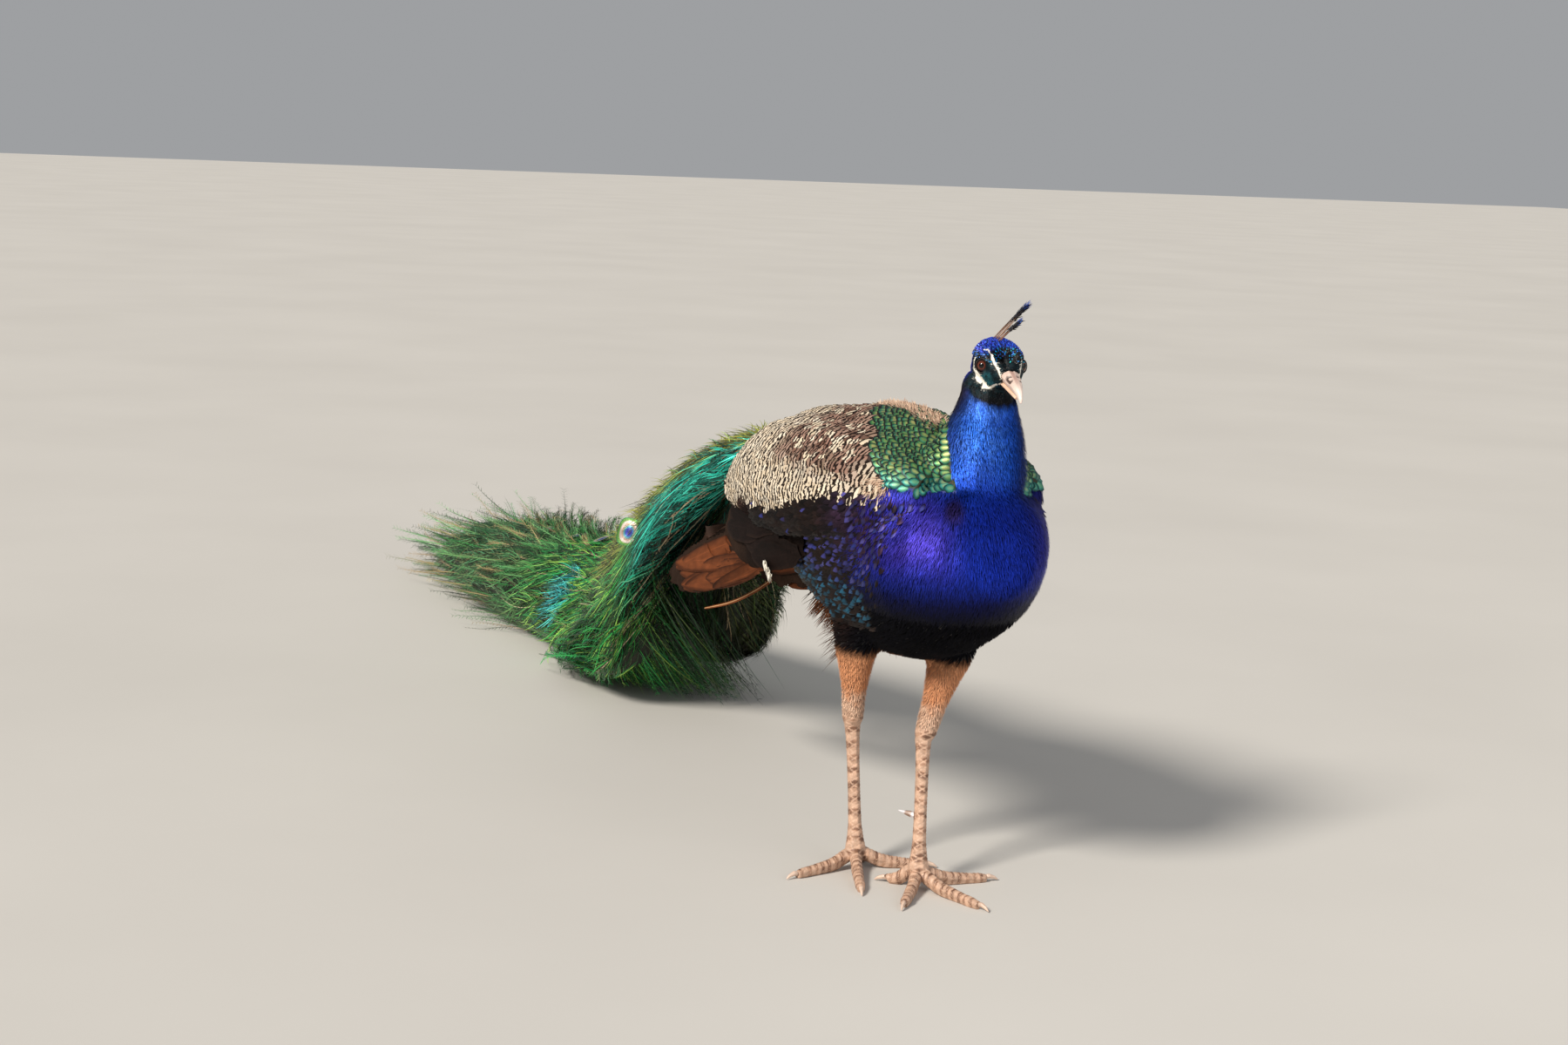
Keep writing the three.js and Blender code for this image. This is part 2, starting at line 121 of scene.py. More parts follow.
def ripple(p, size):
    """A soft wandering value in -1..1 that changes over about `size` millimetres."""
    k = 2 * math.pi / size
    x, y, z = (p[..., i] * k for i in range(3))
    first = np.sin(x * 0.9 + 1.7 * np.sin(y * 0.61))
    second = np.sin(y * 1.1 + 1.3 * np.sin(z * 0.73) + 2.1)
    third = np.sin(z * 0.8 + 1.9 * np.sin(x * 0.57) + 4.2)
    return (first + second + third) / 3


def down(rows):
    """0 at a feather's root to 1 at its tip, shaped to spread over feathers x rows x columns x values."""
    return np.linspace(0, 1, rows)[None, :, None, None]


def sideways(cols):
    """-1 to 1 across a feather, shaped to spread over feathers x rows x columns."""
    return np.linspace(-1, 1, cols)[None, None, :]


# ---------------------------------------------------------------- the frame

def box_mm(name):
    """Lowest and highest corner of a CAD node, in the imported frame's millimetres."""
    low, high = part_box(name)
    return np.array(low) / MM, np.array(high) / MM


def origin_mm():
    """The bird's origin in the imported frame: under the middle of the trunk's width, behind the breast."""
    low, high = box_mm("trunk")
    return np.array([(low[0] + high[0]) / 2, low[1] + BREAST_REACH, 0.0])


ORIGIN = origin_mm()


def to_frame(points):
    """The bird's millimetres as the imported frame's metres."""
    return (points + ORIGIN) * MM


def middle_of(name):
    """Centre of a CAD node's box, in the bird's millimetres."""
    low, high = box_mm(name)
    return (low + high) / 2 - ORIGIN


def placed(name, data):
    """A new object in the scene."""
    ob = bpy.data.objects.new(name, data)
    bpy.context.scene.collection.objects.link(ob)
    return ob


def solid(names):
    """Vertices and triangles of the named CAD nodes, with the corners that triangles share merged."""
    places, triangles, count = [], [], 0
    for name in names:
        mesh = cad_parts[name].data
        mesh.calc_loop_triangles()
        co = np.empty(len(mesh.vertices) * 3)
        mesh.vertices.foreach_get("co", co)
        tri = np.empty(len(mesh.loop_triangles) * 3, dtype=np.int64)
        mesh.loop_triangles.foreach_get("vertices", tri)
        places.append(co.reshape(-1, 3) / MM - ORIGIN)
        triangles.append(tri.reshape(-1, 3) + count)
        count += len(mesh.vertices)
    places = np.concatenate(places)
    triangles = np.concatenate(triangles)
    _, first, back = np.unique(np.round(places, 2), axis=0, return_index=True, return_inverse=True)
    triangles = back.ravel()[triangles]
    whole = (triangles[:, 0] != triangles[:, 1]) & (triangles[:, 1] != triangles[:, 2])
    return places[first], triangles[whole & (triangles[:, 0] != triangles[:, 2])]


def end_of(verts, reach, top=False):
    """The middle of the lowest part of a solid, or of its highest part."""
    z = verts[:, 2]
    return verts[z > z.max() - reach if top else z < z.min() + reach].mean(axis=0)


def corner_normals(verts, faces):
    """Normals at the vertices, from the faces that meet there."""
    a, b, c = (verts[faces[:, i]] for i in (0, 1, faces.shape[1] - 1))
    flat = np.cross(b - a, c - a)
    total = np.zeros_like(verts)
    for axis in range(3):
        for corner in faces.T:
            total[:, axis] += np.bincount(corner, flat[:, axis], len(verts))
    return unit(total)


def relax(verts, faces, rounds):
    """Smooths a mesh without shrinking it, by turns of pulling each vertex in and pushing it back."""
    edges = np.concatenate([faces[:, [i, (i + 1) % faces.shape[1]]] for i in range(faces.shape[1])])
    ends, others = np.concatenate([edges, edges[:, ::-1]]).T
    count = np.maximum(np.bincount(ends, minlength=len(verts)), 1)
    for turn in range(2 * rounds):
        pull = PULL if turn % 2 == 0 else -PULL * 1.04
        mean = np.stack([np.bincount(ends, verts[others, i], len(verts)) / count for i in range(3)], axis=1)
        verts = verts + pull * (mean - verts)
    return verts


def eased(verts, faces, share, rounds):
    """Smooths a mesh once more where share is 1 and leaves it where share is 0."""
    return mix(verts, relax(verts, faces, rounds), share)


def fused(names, voxel, rounds, swell=0.5):
    """One closed mesh of squares round the named solids, with the cuts between them filled."""
    verts, tris = solid(names)
    verts = verts + corner_normals(verts, tris) * swell
    mesh = bpy.data.meshes.new("fuse")
    mesh.from_pydata(verts.tolist(), [], tris.tolist())
    ob = placed("fuse", mesh)
    remesh = ob.modifiers.new("Remesh", "REMESH")
    remesh.mode = "VOXEL"
    remesh.voxel_size = voxel
    done = bpy.data.meshes.new_from_object(ob.evaluated_get(bpy.context.evaluated_depsgraph_get()))
    co = np.empty(len(done.vertices) * 3)
    done.vertices.foreach_get("co", co)
    index = np.empty(len(done.loops), dtype=np.int64)
    done.loops.foreach_get("vertex_index", index)
    bpy.data.objects.remove(ob)
    bpy.data.meshes.remove(mesh)
    bpy.data.meshes.remove(done)
    faces = index.reshape(-1, 4)
    return relax(co.reshape(-1, 3), faces, rounds), faces


class Surface:
    """A mesh of squares that feathers root on and follow."""

    def __init__(self, verts, faces):
        self.verts = verts
        self.tris = np.concatenate([faces[:, [0, 1, 2]], faces[:, [0, 2, 3]]])
        self.tree = BVHTree.FromPolygons(verts.tolist(), self.tris.tolist())
        self.normals = corner_normals(verts, self.tris)
        self.soft = unit(self.normals[self.tris].mean(axis=1))
        a, b, c = (verts[self.tris[:, i]] for i in range(3))
        self.areas = np.linalg.norm(np.cross(b - a, c - a), axis=1) / 2
        self.centres = (a + b + c) / 3

    def nearest(self, points):
        """The nearest points of the mesh and the soft normals there."""
        found = [self.tree.find_nearest(p)[::2] for p in points.tolist()]
        places = np.array([f[0] for f in found])
        return places, self.soft[[f[1] for f in found]]

    def cast(self, starts, directions):
        """First points hit by rays, the normals there, and which of the rays hit at all."""
        found = [self.tree.ray_cast(s, d) for s, d in zip(starts.tolist(), directions.tolist())]
        hit = np.array([f[0] is not None for f in found])
        places = np.array([f[0] if f[0] is not None else (0, 0, 0) for f in found])
        index = [f[2] if f[0] is not None else 0 for f in found]
        return places, self.soft[index], hit

    def scatter(self, density, rng):
        """Points spread evenly over the mesh.

        density: how many for each square millimetre, as a number or as a function of the place.
        """
        share = np.cumsum(self.areas * (density(self.centres) if callable(density) else density) * FULL)
        count = int(share[-1])
        picks = (np.arange(count) + rng.random(count)) * share[-1] / count
        face = np.minimum(np.searchsorted(share, picks), len(share) - 1)
        a, b = rng.random((2, count, 1))
        over = a + b > 1
        a, b = np.where(over, 1 - a, a), np.where(over, 1 - b, b)
        corner = self.tris[face]
        weights = (1 - a - b, a, b)
        places = sum(w * self.verts[corner[:, i]] for i, w in enumerate(weights))
        normals = unit(sum(w * self.normals[corner[:, i]] for i, w in enumerate(weights)))
        return places, normals


# ---------------------------------------------------------------- vanes

def rounded(t):
    """Outline of a broad feather with a round tip."""
    tip = np.sqrt(np.clip(1 - np.clip((t - 0.45) / 0.55, 0, 1) ** 2.6, 0.02, 1))
    return tip * (0.45 + 0.55 * smooth(0, 0.35, t))


def pointed(t):
    """Outline of a narrow feather that tapers to its tip."""
    return (0.5 + 0.5 * smooth(0, 0.3, t)) * (1 - 0.9 * np.clip((t - 0.35) / 0.65, 0, 1) ** 1.6)


def even_rise(t):
    """The feather climbs from its root to its tip at one slope."""
    return t ** 0.8


def vanes(surface, roots, normals, flow, length, width, depth, rows, cols, rng,
          outline=pointed, rise=even_rise, camber=0.25, sway=0.0, curl=0.0):
    """Feathers on a surface, as an array of points by feather, row along it and column across it.

    Each is bent to follow the surface, and climbs from the skin at its root to `depth` above it at its tip.
    """
    count = len(roots)
    length, width, depth = (np.broadcast_to(v, count).astype(float) for v in (length, width, depth))
    flow = unit(flow - normals * (flow * normals).sum(1, keepdims=True))
    if sway:
        flow = unit(flow + np.cross(normals, flow) * rng.normal(0, sway, (count, 1)))
    middle, _ = surface.nearest(roots + flow * length[:, None] / 2)
    tip, tip_normal = surface.nearest(roots + flow * length[:, None])
    t = np.linspace(0, 1, rows)[None, :, None]
    base = (roots[:, None] * (1 - t) * (1 - 2 * t) + middle[:, None] * 4 * t * (1 - t)
            + tip[:, None] * t * (2 * t - 1))
    up = unit(normals[:, None] * (1 - t) + tip_normal[:, None] * t)
    lift = depth[:, None, None] * (rise(t) + curl * t ** 4) - 0.3
    spine = base + up * lift
    along = np.gradient(spine, axis=1)
    across = unit(np.cross(along, up))
    s = np.linspace(-1, 1, cols)
    half = (width[:, None] / 2 * outline(t[..., 0]))[:, :, None, None]
    grid = spine[:, :, None] + across[:, :, None] * half * s[None, None, :, None]
    return grid - up[:, :, None] * half * camber * (s ** 2)[None, None, :, None]


class Coat:
    """Joins many feathers into one mesh, with their colour, their own coordinates and their map."""

    def __init__(self):
        self.parts = []

    def add(self, grid, tint, roots_uv, ids, patch=0.003, measure=None):
        """grid: feathers x rows x columns x 3; tint: one for all, one for each feather, or like the grid.

        roots_uv, ids: each feather's place on the map, and a number of its own from 0 to 1.
        patch: how much of the map a feather takes.
        measure: what the material is given as the way along the feather, if not 0 to 1.
        """
        rows, cols = grid.shape[1:3]
        tint = np.broadcast_to(tint[:, None, None] if tint.ndim == 2 else tint, grid.shape)
        t = np.broadcast_to(np.linspace(0, 1, rows)[None, :, None], grid.shape[:3])
        s = np.broadcast_to(np.linspace(-1, 1, cols)[None, None, :], grid.shape[:3])
        own = np.broadcast_to(ids[:, None, None], grid.shape[:3])
        uv = roots_uv[:, None, None] + columns(s / 2, t - 0.5) * patch
        self.parts.append((grid, tint, columns(s, t if measure is None else measure, own), uv))

    def build(self, name, material, slot, *replaced):
        """Makes the piece of all the feathers added so far."""
        verts, tints, own, uvs, faces, count = [], [], [], [], [], 0
        for grid, tint, vane, uv in self.parts:
            n, rows, cols, _ = grid.shape
            index = count + np.arange(n * rows * cols).reshape(n, rows, cols)
            corners = (index[:, :-1, :-1], index[:, :-1, 1:], index[:, 1:, 1:], index[:, 1:, :-1])
            faces.append(np.stack([c.ravel() for c in corners], axis=1))
            verts.append(grid.reshape(-1, 3))
            tints.append(tint.reshape(-1, 3))
            own.append(vane.reshape(-1, 3))
            uvs.append(uv.reshape(-1, 2))
            count += n * rows * cols
        arrays = [np.concatenate(a) for a in (verts, faces, tints, own, uvs)]
        return piece(name, *arrays, material, slot, *replaced)


def one_coat(name, material, slot, *feathers):
    """A piece made of one kind of feather; what follows the slot is as in Coat.add."""
    coat = Coat()
    coat.add(*feathers)
    coat.build(name, material, slot)


def piece(name, verts, faces, tints, own, uvs, material, slot, *replaced):
    """A mesh object from arrays: it rides on the body, and stands for the CAD nodes named last."""
    mesh = bpy.data.meshes.new(name)
    mesh.vertices.add(len(verts))
    mesh.vertices.foreach_set("co", to_frame(verts).ravel())
    mesh.loops.add(faces.size)
    mesh.loops.foreach_set("vertex_index", faces.ravel().astype(np.int32))
    mesh.polygons.add(len(faces))
    mesh.polygons.foreach_set("loop_start", np.arange(0, faces.size, faces.shape[1], dtype=np.int32))
    mesh.polygons.foreach_set("use_smooth", np.ones(len(faces), dtype=bool))
    mesh.update(calc_edges=True)
    colour = mesh.attributes.new("Tint", "FLOAT_COLOR", "POINT")
    colour.data.foreach_set("color", np.concatenate([tints, np.ones((len(tints), 1))], axis=1).ravel())
    vane = mesh.attributes.new("Vane", "FLOAT_VECTOR", "POINT")
    vane.data.foreach_set("vector", own.ravel())
    layer = mesh.uv_layers.new(name="OFBake")
    per_corner = uvs[faces.ravel()] if len(uvs) == len(verts) else uvs
    layer.data.foreach_set("uv", np.clip(per_corner, 0.001, 0.999).ravel())
    ob = placed(name, mesh)
    for each in material if isinstance(material, (list, tuple)) else [material]:
        mesh.materials.append(each)
    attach(ob, "root")
    if replaced:
        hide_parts(*replaced)
    print("PIECE", name, mesh.name, "triangles", (faces.shape[1] - 2) * len(faces))
    return ob


# ---------------------------------------------------------------- materials

class Nodes:
    """A node material under construction, with its Principled shader."""

    def __init__(self, name, **fixed):
        self.material = bpy.data.materials.new(name)
        self.material.use_nodes = True
        self.tree = self.material.node_tree
        self.shader = self.tree.nodes["Principled BSDF"]
        for socket, value in fixed.items():
            self.shader.inputs[socket.replace("_", " ")].default_value = value

    def node(self, kind, inputs=(), **settings):
        made = self.tree.nodes.new("ShaderNode" + kind)
        for key, value in settings.items():
            setattr(made, key, value)
        for key, value in dict(inputs).items():
            if isinstance(value, bpy.types.NodeSocket):
                self.tree.links.new(value, made.inputs[key])
            else:
                made.inputs[key].default_value = value
        return made

    def math(self, operation, a, b=0.0, c=0.0):
        return self.node("Math", {0: a, 1: b, 2: c}, operation=operation).outputs[0]

    def attribute(self, name, output="Color"):
        return self.node("Attribute", attribute_name=name).outputs[output]

    def noise(self, vector, scale, detail=2.0):
        return self.node("TexNoise", {"Vector": vector, "Scale": scale, "Detail": detail}).outputs["Fac"]

    def stretch(self, vector, factors):
        return self.node("VectorMath", {0: vector, 1: factors}, operation="MULTIPLY").outputs[0]

    def span(self, value, low, high, new_low, new_high):
        inputs = {"Value": value, "From Min": low, "From Max": high, "To Min": new_low, "To Max": new_high}
        return self.node("MapRange", inputs).outputs["Result"]

    def cloud(self, vector, scale, low, high, detail=2.0):
        """Noise spread over a range."""
        return self.span(self.noise(vector, scale, detail), 0.3, 0.7, low, high)

    def wave(self, value, factor):
        return self.math("SINE", self.math("MULTIPLY", value, factor))

    def vane(self):
        """A feather's own coordinates, as one vector and as its three values."""
        vector = self.attribute("Vane", "Vector")
        return vector, self.node("SeparateXYZ", {0: vector}).outputs

    def blend(self, share, a, b):
        mixer = self.node("Mix", data_type="RGBA")
        for socket, value in ((0, share), (6, a), (7, b)):
            if isinstance(value, bpy.types.NodeSocket):
                self.tree.links.new(value, mixer.inputs[socket])
            else:
                mixer.inputs[socket].default_value = value
        return mixer.outputs[2]

    def scaled(self, colour, factor):
        """A colour made lighter or darker by a factor from a socket."""
        return self.node("VectorMath", {0: colour, "Scale": factor}, operation="SCALE").outputs[0]

    def tinted(self, shade, strength):
        """The piece's tint, lighter and darker with a shade in -1..1."""
        return self.scaled(self.attribute("Tint"), self.math("MULTIPLY_ADD", shade, strength, 1.0))

    def paint(self, colour):
        self.tree.links.new(colour, self.shader.inputs["Base Color"])

    def bump(self, height, strength, distance):
        inputs = {"Height": height, "Strength": strength, "Distance": distance}
        self.tree.links.new(self.node("Bump", inputs).outputs[0], self.shader.inputs["Normal"])


def solid_colour(red, green, blue):
    """A display colour for a material's socket."""
    return (*rgb(red, green, blue), 1.0)


def feather_stuff(name, barbs, streak, relief, **fixed):
    """A feather's surface: its tint, broken into barbs that slant out from the middle of the vane.

    barbs: waves along the feather; streak: how much lighter and darker they are; relief: how deep.
    """
    m = Nodes(name, **fixed)
    vane, parts = m.vane()
    slant = m.math("MULTIPLY_ADD", m.math("ABSOLUTE", parts[0]), -0.22, parts[1])
    wave = m.wave(slant, barbs * 2 * math.pi)
    grain = m.noise(m.stretch(vane, (2.2, 5.0, 61.0)), 2.0)
    shade = m.math("ADD", m.math("MULTIPLY", wave, 0.2), m.span(grain, 0.3, 0.7, -1.0, 1.0))
    m.paint(m.tinted(shade, streak))
    m.bump(wave, relief, 0.0004)
    return m.material


def barred_stuff(name):
    """Cream wing coverts crossed by wavy black-brown bars; the way along a feather is counted in bars."""
    m = Nodes(name, Roughness=0.8, Specular_IOR_Level=0.12)
    vane, parts = m.vane()
    wander = m.cloud(m.stretch(vane, (1.1, 0.7, 53.0)), 1.3, -0.16, 0.16, 1.0)
    slope = m.math("MULTIPLY", m.math("ABSOLUTE", parts[0]), -0.26)
    place = m.math("ADD", m.math("ADD", parts[1], wander), slope)
    wave = m.wave(place, 2 * math.pi)
    ragged = m.math("ADD", wave, m.cloud(m.stretch(vane, (2.0, 1.2, 31.0)), 2.0, -0.3, 0.3))
    edge = {"Value": ragged, "From Min": -0.30, "From Max": 0.1}
    bars = m.node("MapRange", edge, interpolation_type="SMOOTHSTEP")
    dark = m.blend(0.65, m.scaled(m.attribute("Tint"), 0.05), solid_colour(34, 21, 17))
    m.paint(m.blend(bars.outputs["Result"], dark, m.attribute("Tint")))
    m.bump(m.wave(m.math("ADD", parts[1], parts[0]), 60.0), 0.3, 0.0003)
    return m.material


def speckled_stuff(name, size, depth, contrast, **fixed):
    """Skin, horn or scale: its tint, with soft blotches and a fine grain in relief."""
    m = Nodes(name, **fixed)
    place = m.node("TexCoord").outputs["Object"]
    blotch = m.noise(place, 1 / (size * 6), 4.0)
    grain = m.noise(place, 1 / size, 3.0)
    shade = m.math("ADD", m.span(blotch, 0.3, 0.7, -0.6, 0.6), m.span(grain, 0.3, 0.7, -0.4, 0.4))
    m.paint(m.tinted(shade, contrast))
    m.bump(grain, 0.5, depth)
    return m.material


def floor_stuff():
    """A pale matt floor with faint clouds in it."""
    m = Nodes("pale_floor", Roughness=0.85)
    place = m.node("TexCoord").outputs["Object"]
    clouds = m.noise(place, 1.2, 5.0)
    share = m.span(clouds, 0.3, 0.7, 0.0, 1.0)
    m.paint(m.blend(share, solid_colour(204, 200, 194), solid_colour(198, 194, 188)))
    m.bump(m.noise(place, 180.0, 3.0), 0.1, 0.0005)
    return m.material


# ---------------------------------------------------------------- the head's own axes

EYES = {side: middle_of(f"eye_{side}") for side in SIDES}
BETWEEN_EYES = (EYES["left"] + EYES["right"]) / 2
TO_LEFT = unit(EYES["left"] - EYES["right"])
UPWARD = np.array([0.0, 0.0, 1.0])
FORWARD = unit(np.cross(TO_LEFT, UPWARD))
EYE_RADIUS = float(np.ptp(box_mm("eye_left"), axis=0)[2]) / 2
EYE_OPENING = 6.9  # half the height of the gap between the lids
OPENING_SHAPE = 0.93  # its width for one of height

# forward of and above the eye's centre
BROW_STRIPE = np.array([[-3, 16.2], [5.7, 16.6], [13.2, 12.3], [20.3, 4.7], [25.3, -1.4], [29.5, -9]])
CHEEK_PATCH = np.array([[-10, 10], [-12.5, 3.2], [-13, -3.8], [-6, -10.5], [3, -15], [4.5, -20.5]])
GAPE_LINE = np.array([[5, -21.5], [16.4, -17.5], [27.6, -15.4]])


def head_axes(p):
    """How far a point lies forward of, above and beside the middle between the eyes."""
    d = p - BETWEEN_EYES
    return d @ FORWARD, d @ UPWARD, d @ TO_LEFT


def from_line(forward, up, line):
    """Distance of a place on the side of the head from a line of (forward, up) points, and how far along."""
    best = np.full(np.shape(forward), 1e9)
    along = np.zeros(np.shape(forward))
    p = columns(forward, up)
    for i, (a, b) in enumerate(zip(line, line[1:])):
        t = np.clip(((p - a) @ (b - a)) / ((b - a) @ (b - a)), 0, 1)
        gap = np.linalg.norm(p - a - t[..., None] * (b - a), axis=-1)
        along = np.where(gap < best, (i + t) / (len(line) - 1), along)
        best = np.minimum(best, gap)
    return best, along


def bare_skin(p):
    """1 on the bare skin of the face, 0 on its feathers."""
    forward, up, side = head_axes(p)
    brow, down_brow = from_line(forward, up, BROW_STRIPE)
    cheek, along = from_line(forward, up, CHEEK_PATCH)
    edge = 0.4 * ripple(p, 4)
    on_side = smooth(2, 5, np.abs(side))
    band = smooth(0.5, -0.3, brow + edge - 0.6 - 0.8 * smooth(0.25, 0.7, down_brow))
    broad = 2.4 * np.exp(-((along - 0.70) / 0.17) ** 2)  # the patch is widest below the eye
    patch = smooth(3.0, 2.2, cheek + edge - broad)
    return on_side * np.maximum(np.maximum(band, patch), gape_skin(p))


def gape_skin(p):
    """1 on the line of pinkish skin that runs back from the corner of the bill."""
    forward, up, side = head_axes(p)
    return smooth(1.2, 0.7, from_line(forward, up, GAPE_LINE)[0]) * smooth(2, 5, np.abs(side))


# ---------------------------------------------------------------- the colours of the coat

BLUE = rgb(17, 47, 168)
AZURE = rgb(30, 118, 240)
VIOLET = rgb(72, 42, 150)
NAVY = rgb(8, 16, 74)
BLACK = rgb(6, 6, 11)
TURQUOISE = rgb(20, 168, 170)
TEAL = rgb(10, 128, 120)
LEAF = rgb(36, 132, 62)
BRONZE = rgb(120, 84, 34)
CREAM = rgb(226, 206, 178)
BROWN = rgb(84, 56, 44)
RUFOUS = rgb(112, 60, 32)
BUFF = rgb(214, 150, 108)
WHITE = rgb(244, 238, 224)
ASHEN = rgb(214, 210, 212)

NECK_LINE = np.array([[0, -84, 372], [3, -98, 430], [6, -116, 474],
                      [7, -126, 512], [6, -131, 542], [7, -132, 562]])
NECK_HALF_WIDTH = np.array([92, 78, 58, 43, 31, 23])
MANTLE_BACK = ((-110, 448), (-35, 492), (35, 512))  # where the green mantle ends: y at a height z
WING_EDGE = ((-110, 448), (-48, 436), (30, 414), (120, 390),
             (226, 384), (271, 366), (360, 350))  # y, and the lowest z of the barred coverts there


def neck_share(p):
    """Distance from the neck's middle line, as a share of the neck's half width there."""
    z = p[..., 2]
    middle = along_line(z, NECK_LINE[:, 2], NECK_LINE[:, :2])
    return np.linalg.norm(p[..., :2] - middle, axis=-1) / np.interp(z, NECK_LINE[:, 2], NECK_HALF_WIDTH)


def mantle_line(z):
    """y where the green mantle ends at a height."""
    return np.interp(z, [k[1] for k in MANTLE_BACK], [k[0] for k in MANTLE_BACK])


def wing_floor(y):
    """The lowest z of the barred coverts at a place along the wing."""
    return np.interp(y, [k[0] for k in WING_EDGE], [k[1] for k in WING_EDGE])


def nape_line(z):
    """Where the blue neck ends behind, as y at a height z: it slopes forward on the way down."""
    return -122 - 0.38 * (525 - z)


def on_mantle(p):
    """True on the green scales between the neck and the wings."""
    _, y, z = split(p)
    edge = 4 * ripple(p, 60)
    clear_of_neck = (z < 515) | (neck_share(p) > 1.05) | ((y > -112) & (z < 545))
    return (y > nape_line(z) + edge) & clear_of_neck & (z > 450 + edge) & (y < mantle_line(z) + edge)


def on_wing(p):
    """True on the barred feathers of the folded wings and the back between them."""
    _, y, z = split(p)
    edge = 3 * ripple(p, 40)
    return (y > np.maximum(mantle_line(z), -112)) & (y < 345) & (z > wing_floor(y) + edge)


def on_head(p):
    """1 where the coat has the head's colours, 0 on the neck; the border climbs from throat to nape."""
    return smooth(-2.5, 2.5, p[..., 2] - 547 - 0.67 * (p[..., 1] + 143.6) + 2.0 * ripple(p, 12))


def head_colour(p):
    """A blue crown and nape, a blackish face with a green gleam, and the bare white and pinkish skin."""
    forward, up, _ = head_axes(p)
    shade = 0.5 + 0.5 * ripple(p, 7)
    crown = smooth(11, 16, up + 0.12 * forward + 1.5 * ripple(p, 8))
    nape = smooth(-14, -26, forward) * smooth(-22, -8, up)
    face = mix(BLACK, rgb(22, 58, 66), 0.6 * shade * smooth(-34, -20, up))
    blue = mix(BLUE, VIOLET, smooth(12, -20, forward) * 0.35) * 1.3
    cheek = smooth(-5, 2, forward) * smooth(22, 17, forward) * smooth(9, 5, np.abs(up + 12))
    return layered(face, (blue, np.maximum(crown, nape)), (rgb(48, 112, 122), cheek * (0.3 + 0.6 * shade)),
                   (WHITE, bare_skin(p)), (rgb(196, 146, 120), gape_skin(p)))


def neck_colour(p):
    """Bright blue above, violet on the sides of the breast, nearly black below, with painted light: the azure
    above is partly painted highlight, the gleam on the right side is a painted highlight and the navy on the
    left side is painted shade.
    """
    x, _, z = split(p)
    around = ripple(p, 70)
    shoulder = smooth(26, 72, np.abs(x)) * smooth(330, 395, z) * smooth(470, 430, z)
    # painted highlight: lighter blue on the upper neck's right side, which faces the key light
    gleam = smooth(440, 505, z) * smooth(26, -4, x) * (0.3 + 0.2 * ripple(p, 9))
    # the azure over the upper neck is partly the neck's lighter blue and partly painted highlight
    return layered(BLUE, (AZURE, np.clip(smooth(420, 510, z) * (0.6 + 0.3 * around), 0, 1)),
                   (VIOLET * 0.8, np.clip(shoulder * (0.6 + 0.2 * around), 0, 1)),
                   (VIOLET, smooth(20, 45, np.abs(x - 5)) * smooth(470, 500, z) * 0.45),
                   (rgb(92, 150, 244), gleam),
                   # painted shade on the neck's left side, away from the key light
                   (NAVY, smooth(12, 38, x) * smooth(400, 450, z) * 0.55),
                   (NAVY, smooth(372, 330, z)),
                   (BLACK, smooth(346, 308, z)))


CREASE = np.array([-42.0, -159.0, 432.0])  # where the neck's feathers part on the right shoulder


def flank_colour(p):
    """Dark brown over the flank, with violet tips above and teal ones below."""
    z = p[..., 2]
    upper = mix(rgb(86, 74, 132), rgb(42, 58, 140), 0.5 + 0.5 * ripple(p, 19))
    glint = mix(upper, rgb(40, 98, 126), smooth(356, 322, z + 9 * ripple(p, 23)))
    dusk = mix(BROWN * 0.4 + VIOLET * 0.12, BROWN * 0.22, smooth(-60, 0, p[..., 1]))
    dull = mix(mix(BROWN * 0.2, dusk, smooth(350, 395, z)), BLACK, 0.45 + 0.4 * ripple(p, 25))
    return dull, glint


def coat_colour(p):
    """The colour of the coat at a place on the body; the skin under it has the same."""
    x, y, z = split(p)
    behind = smooth(-62, -22, y + 0.55 * (z - 370))
    crease = np.linalg.norm((p - CREASE) * [1.0, 1.0, 0.45], axis=-1)
    shoulder = smooth(84, 100, x) * smooth(385, 405, z) * smooth(-150, -135, y)
    knee = mix(rgb(220, 184, 158), RUFOUS, 0.35 * smooth(0.0, 0.6, ripple(p, 9)))
    return layered(neck_colour(p), (flank_colour(p)[0], behind),
                   # painted shade: dark violet-brown in the crease where the neck's feathers part on the
                   # right shoulder
                   (mix(VIOLET, BROWN, 0.6) * 0.3, smooth(13, 4, crease) * 0.8),
                   (mix(BROWN, RUFOUS, 0.5) * 0.7, smooth(60, 120, y) * smooth(320, 280, z) * 0.8),
                   (mix(LEAF, BRONZE, 0.5 + 0.5 * ripple(p, 30)) * 0.22, on_mantle(p).astype(float)),
                   (BROWN * 0.8, on_wing(p).astype(float)),
                   (LEAF * 0.6, smooth(300, 345, y) * smooth(395, 420, z)),
                   # dark brown on the left shoulder only: the brown of the wing's front, darkened as painted
                   # shade on the side away from the key light
                   (BROWN * 0.5, shoulder * ~on_mantle(p) * ~on_wing(p)),
                   (BUFF * 0.94, smooth(254, 236, z)),
                   (knee, smooth(206, 182, z + 8 * ripple(p, 13))),
                   (head_colour(p), on_head(p)))


# ---------------------------------------------------------------- the lie of the coat

